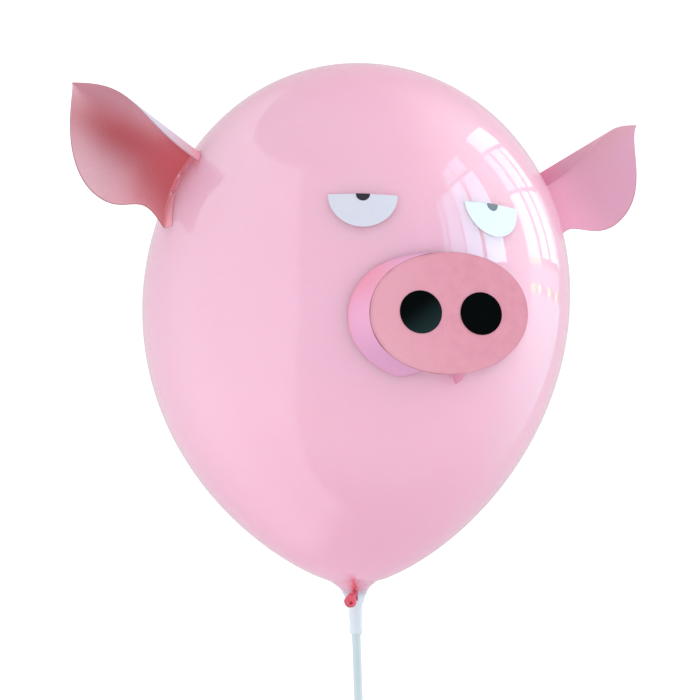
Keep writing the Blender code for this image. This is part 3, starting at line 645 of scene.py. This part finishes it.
def makeStick(material):
    # A closed profile around the tube's wall, with small chamfers, turned about the axis
    wide, edge = stick["diameter"] / 2, stick["chamfer"]
    bore, top, bottom = wide - stick["wall"], stickTop, stickTop - stick["length"]
    outer, inner = (wide - edge, wide, wide, wide - edge), (bore + edge, bore, bore, bore + edge)
    down = (top, top - edge, bottom + edge, bottom)
    radius, height = np.array(outer + inner + outer[:1]), np.array(down + down[::-1] + down[:1])
    points = fromCup(ringPoints(radius[:, None], height, circle(64)).reshape(-1, 3))
    faces = gridCells(len(radius), 64, True).reshape(-1, 4)
    makePiece("stickTube", points, faces, material, "balloon_stick")


# Eyes: half discs pressed onto the balloon, straight side up, with a small half disc as pupil

eyes = dict(
    azimuth=radians(17.75), height=0.0659, radius=0.0218, pupilRadius=0.0044,
    # Painted light: the left white is lighter and bluer, and the left pupil grey with a painted reflection
    litAndShadedWhites=dict(
        right=dict(colour=(0.65, 0.68, 0.79), mottled=(0.62, 0.66, 0.78), roughness=0.55),
        left=dict(colour=(0.72, 0.80, 0.93), mottled=(0.69, 0.78, 0.92), roughness=0.55),
    ),
    pupils=dict(
        right=dict(colour=(0.016, 0.011, 0.022), mottled=(0.028, 0.022, 0.035), roughness=0.5),
        left=dict(colour=(0.150, 0.154, 0.190), mottled=(0.176, 0.180, 0.222), roughness=0.5),
    ),
)


def laidOnBalloon(azimuth, height, across, up, lift):
    # A flat piece's points are moved along one normal until they meet the balloon, then lifted off it
    middle = balloonPoint(azimuth, height)
    level = np.array([cos(azimuth), sin(azimuth), 0])
    normal = balloonPoint(azimuth, height, 1) - middle
    points = middle + across[..., None] * level + up[..., None] * np.cross(normal, level)
    for _ in range(8):
        points = points - outside(points)[..., None] * normal
    return balloonPoint(azimuthOf(points), points[..., 2], lift)


def makeHalfDisc(name, side, radius, lift, columns, rows, material, replaced):
    # Rings of a half circle under the straight side, from the middle outwards
    angle, ring = pi * (1 + shares(columns)), radius * shares(rows)[:, None]
    across, up = ring * cos(angle), ring * sin(angle)
    points = laidOnBalloon(side * eyes["azimuth"], eyes["height"], across, up, lift)
    outward = balloonPoint(azimuthOf(points), points[..., 2], lift + paper / 2) - points
    makeSheet(name, points, outward, stacked(across + side, up), material, replaced)


def makeEyes():
    # Each eye is a white half disc with a small dark one on it; their colours carry painted light by side
    lift, radius = glue + paper / 2, eyes["radius"]
    upper, pupil = lift + paper + glue, eyes["pupilRadius"]
    satin = {"Specular IOR Level": 0.3}
    for side, label in ((-1, "right"), (1, "left")):
        white = cardMaterial(f"white card {label}", eyes["litAndShadedWhites"][label], **smoothCard)
        dark = cardMaterial(f"dark card {label}", eyes["pupils"][label], **smoothCard, sockets=satin)
        makeHalfDisc(f"eyeWhite_{label}", side, radius, lift, 97, 14, white, f"eye_{label}")
        makeHalfDisc(f"eyePupil_{label}", side, pupil, upper, 49, 5, dark, f"pupil_{label}")


# Snout: an oval card on a band of card that reaches back to the balloon

snout = dict(
    azimuth=radians(1.5), height=-0.0134, reach=0.0318, cardWidth=0.1002, cardHeight=0.0755,
    squareness=2.08, cardShift=-0.0193, cardTwist=0.0237, cardYaw=radians(-4.5), cardPitch=radians(4.5),
    cardRoll=radians(1.1), overhang=0.0008, bandYaw=radians(-5.7), bandPitch=radians(-4.2),
    bandGrowth=0.131, topSink=0.042, endAngle=radians(-76), lapAngle=radians(14), dentDepth=0.0085,
    dentAngle=radians(40), curlAngle=radians(2.4),
    # Gaps: an angle in degrees, a width and how much painted shadow each adds to the card's rim
    gapShadows=((105, 6, 0.6), (140, 4, 0.4), (179, 10, 0.35), (207, 11, 0.6), (262, 14, 0.3)),
    nostrilDiameter=0.0264, nostrilSpacing=0.0381,
    # The card's edge colour is a painted shadow line along its rim; the band's is painted shade by the card
    card=dict(
        colour=(0.705, 0.300, 0.395), mottled=(0.635, 0.252, 0.340),
        pale=(0.725, 0.350, 0.440), edge=(0.24, 0.07, 0.10),
    ),
    band=dict(
        colour=(0.83, 0.42, 0.64), mottled=(0.80, 0.41, 0.64), rosy=(0.88, 0.35, 0.49),
        lilac=(0.59, 0.29, 0.48), edge=(0.34, 0.10, 0.16),
    ),
    # The nostril's sheen colour is a painted reflection
    nostril=dict(
        colour=(0.0006, 0.0010, 0.0009), mottled=(0.0012, 0.0016, 0.0015),
        paintedSheen=(0.012, 0.026, 0.029), roughness=0.6,
    ),
)


def facing(yaw, pitch, roll=0):
    # Axes of a card that faces forward: X to the side, Y up and Z out of its face
    return turnBy(yaw, "Z") @ turnBy(pi / 2 - pitch, "X") @ turnBy(roll, "Z")


cardAxes = facing(snout["cardYaw"], snout["cardPitch"], snout["cardRoll"])
cardMiddle = balloonPoint(snout["azimuth"], snout["height"]) + snout["reach"] * cardAxes[:, 2]


def oval(angle, inset, cut=1):
    # Cosine and sine of the angle, both to a power just under one, times the half sizes. The cut isn't
    # quite even: it grows and shrinks with the angle's cosine and the sine of twice the angle.
    power = 2 / snout["squareness"]
    cosine, sine = cos(angle), sin(angle)
    uneven = 1 + cut * (snout["cardShift"] * cosine + snout["cardTwist"] * sin(2 * angle))
    across = (snout["cardWidth"] / 2 - inset) * np.sign(cosine) * np.abs(cosine) ** power
    up = (snout["cardHeight"] / 2 - inset) * np.sign(sine) * np.abs(sine) ** power
    return across * uneven, up * uneven


def makeFlatDisc(name, across, up, out, material, replaced, values):
    # Rings from the middle outwards on the card's plane, or moved out of it, as thick as the card
    points = cardMiddle + stacked(across, up, out) @ cardAxes.T
    offset = cardAxes[:, 2] * paper / 2
    makeSheet(name, points, offset, stacked(across, up), material, replaced, values, wrap=True)


def bandLift(pastEnd, sprung):
    # How far the strip lies outside the oval, by the angle past its outer end. Its underside is pressed
    # in, the outer end springs back out, and the inner end runs in under the outer one.
    lapAngle = snout["lapAngle"]
    lap = (paper + 2 * gap) * (1 - softStep(pastEnd, lapAngle, lapAngle * 2))
    curl = sprung * (1 - softStep(pastEnd, 0, snout["curlAngle"]))
    outer = (1 - curl) * (1 - softStep(pastEnd, lapAngle, snout["dentAngle"]))
    inner = softStep(pastEnd, 2 * pi - snout["dentAngle"], 2 * pi)
    return lap - snout["dentDepth"] * (outer + inner)


def bandPoints(pastEnd, back):
    # The strip follows the oval from its outer end, which springs out most at the back. Each line of it
    # runs back to the balloon, while the oval grows, loses its uneven cut and sinks a little at the top.
    front = cardMiddle - cardAxes[:, 2] * (paper / 2 + gap)
    inward = -facing(snout["bandYaw"], snout["bandPitch"])[:, 2]
    angle = snout["endAngle"] - pastEnd
    sweeps = []
    for cut, sprung in ((1, 0.6), (0, 1)):
        across, up = oval(angle, snout["overhang"] + paper / 2 - bandLift(pastEnd, sprung), cut)
        up = up * (1 - snout["topSink"] * (1 - cut) * softStep(sin(angle), 0.5, 0.95))
        sweeps.append(stacked(across, up) @ cardAxes[:, :2].T)

    def ring(depth):
        growth = 1 + snout["bandGrowth"] * depth / snout["reach"]
        toBack = softStep(depth, 0, snout["reach"])[..., None]
        sweep = sweeps[0] + (sweeps[1] - sweeps[0]) * toBack
        return front + sweep * growth[..., None] + inward * depth[..., None]

    farthest = snout["reach"] + balloonShape["diameter"] / 3
    depth = back * halved(lambda middle: outside(ring(middle)) > gap + paper, 0 * back, 0 * back + farthest)
    return ring(depth), depth


def makeSnoutFace():
    # The card's rim has a painted shadow line for the shade in the gap behind it, darker where it stands
    # off
    # the strip: a bell curve around each gap's angle, in degrees, and more over its right side. The card is
    # paler towards its lower right.
    angle = circle(216)
    share = np.append(np.linspace(0, 0.985, 24), (0.992, 1))[:, None]
    across, up = oval(angle, 0)
    around = np.degrees(angle)
    strength = 0.12 + 0.33 * softStep(around, 90, 110) * softStep(around, 275, 240)
    strength = strength + sum(more * bell(around - middle, width) for middle, width, more in snout["gapShadows"])
    pale = 0.8 * softStep(-share * across, -0.012, 0.050) + 0.3 * softStep(-share * up, 0, 0.040)
    values = {
        "edge": softStep(share, 0.982, 0.992) * np.clip(strength, 0, 1),
        "pale": np.clip(pale, 0, 1),
    }
    card = cardMaterial("pink card", snout["card"], ("pale", "edge"), cloudScale=105)
    makeFlatDisc("snoutFace", share * across, share * up, 0, card, "snout_card", values)


def makeNostrils():
    # Black discs, the right one with a painted reflection, a faint teal sheen towards its lower left
    angle, ring = circle(216), snout["nostrilDiameter"] / 2 * shares(10)[:, None]
    look, dull = snout["nostril"], {"Specular IOR Level": 0.02}
    for side, label, most in ((-1, "right", 1), (1, "left", 0)):
        black = cardMaterial(f"black card {label}", look, ("paintedSheen",), **smoothCard, sockets=dull)
        # Painted reflection, strongest towards the lower left
        paintedSheen = most * softStep(ring * cos(angle + radians(55)), -0.006, 0.014)
        across = ring * cos(angle) + side * snout["nostrilSpacing"] / 2
        makeFlatDisc(
            f"nostrilDisc_{label}", across, ring * sin(angle), paper + glue, black,
            f"nostril_{label}", {"paintedSheen": paintedSheen}
        )


def makeBand():
    # The strip is rosiest up on the right side and along its back, and lilac above and below. Its edge
    # tint is painted shade along its front rows under the card's rim, and faint on its sprung loose end.
    along, back = np.meshgrid(shares(481), np.append((0, 0.02), np.linspace(0.05, 1, 15)))
    pastEnd = (2 * pi + snout["lapAngle"]) * along
    points, depth = bandPoints(pastEnd, back)
    angle = snout["endAngle"] - pastEnd
    up = sin(angle)
    rosy = bell(nearest(angle - radians(148)), 0.42) * (0.75 + 0.25 * back)
    rosy = rosy + 0.45 * softStep(back, 0.86, 0.98)
    lilac = softStep(-up, -0.1, 0.85) * (1 - 0.35 * back) + 0.45 * softStep(up, 0.75, 0.98)
    sprung = 1 - softStep(pastEnd, 0.05, 0.12)
    values = {
        "rosy": np.clip(rosy + 0.6 * sprung, 0, 1),
        "lilac": (1 - sprung) * np.clip(lilac, 0, 1),
        # Painted shade under the card's rim and on the loose end
        "edge": np.maximum((1 - softStep(depth, 0.0005, 0.0018)) * 0.8, 0.25 * sprung),
    }
    flat = stacked(along * pi * (snout["cardWidth"] + snout["cardHeight"]) / 2, depth)
    card = cardMaterial("pale pink card", snout["band"], ("rosy", "lilac", "edge"))
    makeSheet("snoutStrip", points, halfPaper(points), flat, card, "snout_band", values)


# Ears: a leaf of card rolled on a cone, cut into tabs at its foot

ears = dict(
    azimuth=radians(90), height=0.0847, coneTip=(0.1230, 0.0063, -0.0381),
    coneTurn=(radians(3.8), radians(-28.7), radians(-167.6)), gentleBend=1.35, tightBend=8.8,
    bendStart=radians(-10.8), bendSpread=radians(7.4),
    leftTurn=(radians(6.4), radians(-4.4), radians(-9.9)), leftShift=(0.0012, 0.0019, 0.0018),
    length=0.1108, distance=0.1124, offset=-0.0325, skew=radians(8.25),
    # Half the leaf: its half width at the foot and at the widest place, where that is, the reach of the
    # four handles from foot to tip, and the angles of the first and the last one
    rightLower=(0.0360, 0.0502, 0.0461, 0.0366, 0.0254, 0.0275, 0.0038, radians(-34.4), radians(16.3)),
    leftLower=(0.0373, 0.0477, 0.0509, 0.0452, 0.0297, 0.0390, 0.0074, radians(-43.7), radians(14.1)),
    upper=(0.0386, 0.0497, 0.0261, 0.0406, 0.0197, 0.0533, 0.0344, radians(-39.4), radians(50.4)),
    tabLength=0.0120,
    # A tab runs from one share of the foot to another and droops by an angle
    tabs=((0, 0.36, 0), (0.41, 0.59, 0), (0.64, 0.77, 0), (0.83, 1, radians(62))),
    columns=132, rows=64, tabRows=10, clearance=0.0002, foldShadeAngle=radians(-8),
    foldShadeSpread=radians(7.2),
    # tipBack is the tip's share on the second layer, baseFront the base's on the first, and tabRise how
    # far up the second layer's foot is rosy
    # Base: painted shade at the right foot, painted light at the left. The back side is painted lighter on
    # the right.
    # The two ears are lit and shaded copies of one card, tips included. Painted shade: fold inside the
    # curl.
    right=dict(
        colour=(0.80, 0.50, 0.58), mottled=(0.74, 0.46, 0.54), second=(0.63, 0.61, 0.72),
        fold=(0.49, 0.118, 0.142), tip=(0.54, 0.265, 0.325), tipBack=0,
        base=(0.80, 0.18, 0.21), baseMost=0.45, baseFront=1,
        tab=(0.86, 0.37, 0.45), tabRise=0.12, rim=(0.34, 0.13, 0.15), rimMost=0.7,
    ),
    left=dict(
        colour=(0.61, 0.30, 0.41), mottled=(0.57, 0.28, 0.385), second=(0.725, 0.390, 0.535),
        fold=(0.74, 0.18, 0.33), tip=(0.70, 0.375, 0.455), tipBack=0.8,
        base=(1, 0.53, 0.71), baseMost=0.9, baseFront=0,
        tab=(0.84, 0.38, 0.50), tabRise=0.02, rim=(0.50, 0.24, 0.30), rimMost=0,
    ),
)


def cubic(*corners):
    # A curve from the first point to the fourth, drawn towards the two between them
    share = shares(25)[:, None]
    rest = 1 - share
    weights = (rest**3, 3 * rest**2 * share, 3 * rest * share**2, share**3)
    return sum(weight * np.array(corner) for weight, corner in zip(weights, corners))


def halfWidth(along, half):
    # Half width along the leaf: one curve from the foot to the widest place and one on to the tip
    foot, most, mostAt, footReach, backReach, foreReach, tipReach, footAngle, tipAngle = ears[half]
    rise = (footReach * cos(footAngle), foot + footReach * sin(footAngle))
    fall = (ears["length"] - tipReach * cos(tipAngle), tipReach * sin(tipAngle))
    near = cubic((0, foot), rise, (mostAt - backReach, most), (mostAt, most))
    far = cubic((mostAt, most), (mostAt + foreReach, most), fall, (ears["length"], 0))
    return np.interp(along, *np.vstack([near, far[1:]]).T)


def coneRulings(reach=1.5, steps=150):
    # Directions of the cone's straight lines: the card rolls on, step by step, with a bend that goes from
    # gentle to tight along a hyperbolic tangent
    directions = np.zeros((2 * steps + 1, 3))
    for way in (1, -1):
        axes = Matrix.Identity(3)
        directions[steps] = axes.col[0]
        for k in range(1, steps + 1):
            angle = way * (k - 0.5) * reach / steps
            tight = 0.5 * (1 + tanh((angle - ears["bendStart"]) / ears["bendSpread"]))
            bend = -(ears["gentleBend"] + (ears["tightBend"] - ears["gentleBend"]) * tight)
            axis = axes.col[0] * bend + axes.col[2]
            axes = Matrix.Rotation(way * axis.length * reach / steps, 3, axis) @ axes
            directions[steps + way * k] = axes.col[0]
    return np.linspace(-reach, reach, 2 * steps + 1), directions


coneAngles, coneDirections = coneRulings()


def turnAbout(angles):
    # Turns about X, Y and Z, one after another
    x, y, z = (turnBy(angle, axis) for angle, axis in zip(angles, "XYZ"))
    return z @ y @ x


def earPlacement(side):
    # Axes and tip of the ear's cone. The left ear mirrors the right one, a little turned and shifted.
    place = balloonPoint(-ears["azimuth"], ears["height"])
    axes, tip = turnAbout(ears["coneTurn"]), place + np.array(ears["coneTip"])
    if side < 0:
        return axes, tip
    mirror, extra = np.diag((-1, 1, 1)), turnAbout(ears["leftTurn"])
    pivot = mirror @ place
    return extra @ mirror @ axes, extra @ (mirror @ tip - pivot) + pivot + np.array(ears["leftShift"])


def rolledLeaf(along, share, side):
    # The share runs across the leaf from -1 below to 1 above. The flat leaf's points keep their distance
    # and angle from the cone's tip when the card is rolled.
    lower, upper = halfWidth(along, "rightLower" if side < 0 else "leftLower"), halfWidth(along, "upper")
    across, skew = share * np.where(share < 0, lower, upper), ears["skew"]
    flatX = ears["distance"] + along * cos(skew) - across * sin(skew)
    flatY = ears["offset"] + along * sin(skew) + across * cos(skew)
    angle = np.arctan2(flatY, flatX)
    direction = np.stack([np.interp(angle, coneAngles, coneDirections[:, k]) for k in range(3)], axis=-1)
    axes, tip = earPlacement(side)
    points = (np.hypot(flatX, flatY)[..., None] * direction) @ axes.T + tip
    return points, stacked(flatX, flatY), angle


def footOf(share, side):
    # Where each line along the leaf comes out of the balloon, evened out by a running mean of five
    trial = np.linspace(-0.35, 0.6, 400) * ears["length"]
    grid = rolledLeaf(trial[:, None] + 0 * share, share + 0 * trial[:, None], side)[0]
    inside = outside(grid) < ears["clearance"]
    last = np.where(inside.any(axis=0), len(trial) - 1 - np.argmax(inside[::-1], axis=0), 0)
    foot = trial[np.minimum(last + 1, len(trial) - 1)]
    return np.convolve(np.pad(foot, 2, mode="edge"), np.ones(5) / 5, mode="valid")


def makeEar(side, label):
    # Rows run from the tabs' ends over the foot to the tip. Below the foot each point slides over the
    # balloon towards the face, and only the tabs' cells are kept. The fold is painted shade inside the
    # curl, a bell curve of the cone's angle, narrower and weaker towards the tip. The base is painted shade
    # at the right ear's foot and painted light at the left ear's.
    look, tabRows = ears[label], ears["tabRows"]
    share = np.linspace(-1, 1, ears["columns"] + 1)
    start = footOf(share, side)
    rise = shares(ears["rows"] + 1)[:, None]
    leaf, flat, angle = rolledLeaf(start + (ears["length"] - start) * rise, share + 0 * rise, side)

    place = (share + 1) / 2
    middles = (place[1:] + place[:-1]) / 2
    fall, inTab = 0 * place, middles < 0
    for first, last, drop in ears["tabs"]:
        fall = np.where(place >= first - 0.02, drop, fall)
        inTab |= (middles > first) & (middles < last)
    step, point = ears["tabLength"] / tabRows, leaf[0]
    for k in range(1, tabRows + 1):
        height = point[:, 2] - step * sin(fall)
        azimuth = azimuthOf(point) - side * step * cos(fall) / radiusAt(height)
        point = balloonPoint(azimuth, height, ears["clearance"])
        leaf = np.vstack([point[None], leaf])
        flat = np.vstack([flat[:1] - np.array((step, 0)), flat])
    keep = np.ones((len(leaf) - 1, ears["columns"]), dtype=bool)
    keep[:tabRows] = inTab

    foldShadeWidth = 1 + 1.8 * (1 - softStep(rise, 0, 0.35)) - 0.35 * softStep(rise, 0.3, 0.8)
    fold = bell(angle - ears["foldShadeAngle"], ears["foldShadeSpread"] * foldShadeWidth)
    edge = np.maximum(softStep(-share, 0.972, 0.992), look["rimMost"] * softStep(share, 0.972, 0.992))
    # Painted shade: fold and the right ear's base; painted light: the left ear's base
    parts = {
        "fold": fold * (1 - softStep(rise, 0.5, 1.25)),
        "tip": softStep(rise, 0.25, 0.80) * softStep(share, -0.50, 0.25),
        "base": look["baseMost"] * (1 - softStep(rise, 0, 0.5)) + 0 * share,
        "rim": 0.7 * np.maximum(edge, softStep(rise, 0.982, 0.995)),
        "tab": 1 - softStep(rise, 0, 0.015) + 0 * share,
    }
    below = np.zeros((tabRows, len(share)))
    values = {name: np.vstack([below + (name == "tab"), part]) for name, part in parts.items()}
    rosyFoot = np.vstack([below + 1, 1 - softStep(rise, 0.01, look["tabRise"]) + 0 * share])
    values["tab"] = (values["tab"], np.maximum(values["tab"], rosyFoot))
    for name, front, back in (("base", look["baseFront"], 1), ("tip", 1, look["tipBack"]), ("fold", 1, 0)):
        values[name] = (front * values[name], back * values[name])
    values["second"] = (0 * rosyFoot, 0 * rosyFoot + 1)
    card = cardMaterial(f"rose card {label}", look, ("second", "tip", "fold", "base", "tab", "rim"))
    makeSheet(
        f"earLeaf_{label}", leaf, halfPaper(leaf), flat, card, f"ear_{label}", values, keep=keep
    )


# Build the pieces

makeBalloon(latexMaterial())
makeTail(tailMaterial())
makeCup(plasticMaterial("cloudy plastic", cup))
makeStick(plasticMaterial("white plastic", stick))
makeEyes()
makeSnoutFace()
makeNostrils()
makeBand()
makeEar(-1, "right")
makeEar(1, "left")
print("pieces done")


# Camera, at the photograph's viewing angle, worked out upright and then laid down with the part

camera = dict(
    place=(-0.00491, -0.01862, 1.2000),  # in the view's own axes: right, up and back
    azimuth=radians(18.29), elevation=radians(-5.32), roll=0.0189,
    focal=1700,  # pixels
    imageSize=700, sensor=36, farthest=20,
)


def addCamera():
    # The view's right, up and back are the axes of a card that faces the camera
    axes = poseTurn @ facing(-camera["azimuth"], camera["elevation"], camera["roll"])
    data = bpy.data.cameras.new("camera")
    data.sensor_width = camera["sensor"]
    data.lens = camera["focal"] / camera["imageSize"] * camera["sensor"]
    data.clip_end = camera["farthest"]
    place = axes @ camera["place"] + poseShift
    bpy.context.scene.camera = addObject("camera", data, axes, place)
    return place


cameraPlace = addCamera()


# Floor, daylight and windows

studio = dict(
    floorSize=30, floorDrop=0.0002, floorGlow=0.84,
    floor=dict(colour=(0.42, 0.42, 0.42), roughness=0.9),
    sky=(1.05, 0.48, 0.76),  # at the rim, overhead and below
    glossSky=(0.98, 0.86, 0.72), paleWall=1, leftGlow=1.50, darkAbove=0.40,
    key=dict(size=2.2, power=17, place=(1.2, 0.9, 1.47)),
    fill=dict(size=0.4, power=3.4, place=cameraPlace), aim=(0, 0, 0.15),
)

# Each window stands upright beside the head: its azimuth, distance, colour and panes. A pane has its
# start and end across, its start and end upwards, and its light at the bottom and at the top.
windows = (
    (radians(72), 0.47, (0.15, 1, 1.05), (
        (0.005, 0.285, 0.526, 0.660, 2.9, 3.1), (-0.005, 0.058, 0.328, 0.504, 2.1, 2.1),
        (0.084, 0.180, 0.328, 0.504, 2.4, 2.4), (0.204, 0.275, 0.328, 0.504, 2.4, 2.3),
        (-0.013, 0.070, 0.131, 0.313, 3.5, 3.5), (0.094, 0.159, 0.131, 0.313, 3.2, 2.6),
        (0.181, 0.265, 0.131, 0.313, 3.1, 2.5), (0.285, 0.306, 0.126, 0.313, 2.1, 2.1),
        (-0.013, 0.270, 0.068, 0.112, 0.6, 0.6), (-0.013, 0.300, -0.420, 0.048, 0.05, 0.95),
        (0.240, 0.264, -0.135, -0.082, 1.2, 1.2),
    )),
    (radians(72), 0.47, (0.55, 1, 0.05), (
        (-0.013, 0.015, 0.047, 0.071, 3.8, 3.8), (0.031, 0.060, 0.048, 0.072, 3.4, 3.4),
        (0.113, 0.146, 0.049, 0.073, 2.6, 2.6), (0.200, 0.243, 0.049, 0.075, 2, 2),
        (0.200, 0.238, 0.083, 0.110, 2, 2), (-0.013, 0.074, 0.113, 0.131, 2.4, 2.4),
    )),
    (radians(70), 0.90, (0.15, 1.05, 1.20), (
        (-0.890, -0.815, 0.220, 0.910, 2.2, 1.8), (-0.785, -0.600, 0.220, 0.910, 3.4, 2.6),
        (-0.585, -0.400, 0.220, 0.910, 5.6, 3.9), (-0.360, -0.155, 0.220, 0.910, 6.4, 2.8),
        (-0.600, -0.430, 0.945, 1.170, 1.9, 1.9), (-0.410, -0.210, 0.945, 1.170, 2, 2),
    )),
)


def addFloor():
    # A pale, faintly glowing square under the part. The gloss shows the duller sky below it instead.
    size, level = studio["floorSize"], -studio["floorDrop"]
    mesh = bpy.data.meshes.new("floor")
    corners = [(x * size, y * size, level) for x, y in ((-1, -1), (1, -1), (1, 1), (-1, 1))]
    mesh.from_pydata(corners, [], [(0, 1, 2, 3)])
    material, tree, shader = newMaterial("pale floor", studio["floor"], {"Specular IOR Level": 0.1})
    putIn(tree, shader.inputs["Emission Color"], (1, 1, 1))
    putIn(tree, shader.inputs["Emission Strength"], studio["floorGlow"])
    mesh.materials.append(material)
    floor = addObject("floor", mesh)
    floor.visible_glossy = False


def addSky():
    # White light from all round, duller overhead. The gloss shows a sky of its own, with a pale wall on
    # the right, bounded ahead by a bowed edge and above by a level one, a soft glow ahead on the left and a
    # darker patch above the crown. Each is a product of soft steps of the direction's upright parts.
    world = bpy.data.worlds.new("soft studio")
    bpy.context.scene.world = world
    world.use_nodes = True
    tree = world.node_tree
    background = tree.nodes["Background"]
    direction = addNode(tree, "TexCoord").outputs["Generated"]
    height = addNode(tree, "SeparateXYZ", {0: direction}).outputs[2]

    def times(first, *others):
        for other in others:
            first = combine(tree, first, other)
        return first

    def plus(first, second):
        return combine(tree, first, second, "ADD")

    def step(*span):
        return spread(tree, *span)

    def dome(rim, top, below):
        return times(step(height, 0, 1, rim, top), step(height, -0.08, 0.02, below / rim, 1))

    def part(axis):
        inputs = {0: direction, 1: tuple(poseTurn[:, axis].tolist())}
        return addNode(tree, "VectorMath", inputs, operation="DOT_PRODUCT").outputs["Value"]

    back, up, side = part(1), part(2), part(0)
    bowed = plus(back, times(up, up, -0.62))
    wall = times(step(bowed, -0.705, -0.645), step(up, 0.80, 0.77), step(side, 0, -0.2))
    wall = times(wall, step(back, 0.90, 0.30), studio["paleWall"])
    glow = times(step(side, 0.10, 0.60), studio["leftGlow"], step(back, -0.85, -0.30))
    glow = times(glow, step(back, 0.55, -0.10), step(up, -0.5, 0.1))
    dark = times(step(up, 0.72, 0.86), step(back, 0.5, 0), -studio["darkAbove"])
    gloss = plus(plus(times(dome(*studio["glossSky"]), plus(dark, 1)), wall), glow)
    isGloss = addNode(tree, "LightPath").outputs["Is Glossy Ray"]
    light = addNode(tree, "Mix", {0: isGloss, 2: dome(*studio["sky"]), 3: gloss}).outputs[0]
    putIn(tree, background.inputs[0], (1, 1, 1))
    putIn(tree, background.inputs[1], light)


def addLight(name, shape, size, power, axes, middle):
    # An area light of the given shape, which the camera doesn't see
    data = bpy.data.lights.new(name, "AREA")
    data.shape = shape
    data.size, data.size_y = size
    data.energy = power
    light = addObject(name, data, axes, middle)
    light.visible_camera = False
    return light


def addWindows():
    # One area light for each pane, facing the balloon, which shows only in gloss. A pane whose light
    # changes from bottom to top is cut into level strips.
    for k, (azimuth, distance, colour, panes) in enumerate(windows):
        turn = facing(azimuth, 0)
        for column, (near, far, low, high, first, last) in enumerate(panes):
            strips = 1 if first == last else 8
            size = (far - near, (high - low) / strips)
            for row in range(strips):
                share = (row + 0.5) / strips
                power = (first + (last - first) * share) * size[0] * size[1] * pi
                middle = layDown(turn @ ((near + far) / 2, low + (high - low) * share, distance))
                name = f"pane_{k + 1}_{column + 1}_{row + 1}"
                pane = addLight(name, "RECTANGLE", size, power, poseTurn @ turn * (-1, 1, 1), middle)
                pane.data.color = colour
                pane.visible_diffuse = False
                pane.visible_transmission = False


def addSoftLight(name, look):
    # A large round light aimed at the head, which doesn't show in the balloon's gloss
    back = unit(np.array(look["place"]) - studio["aim"])
    side = unit(np.cross((0, 1, 0), back))
    axes = np.stack([side, np.cross(back, side), back], axis=1)
    size = (look["size"], look["size"])
    addLight(name, "DISK", size, look["power"], axes, look["place"]).visible_glossy = False


addFloor()
addSky()
addWindows()
addSoftLight("softLight", studio["key"])
addSoftLight("fillLight", studio["fill"])
scene = bpy.context.scene
scene.view_settings.view_transform = "Standard"
scene.view_settings.look = "None"
print("studio done")
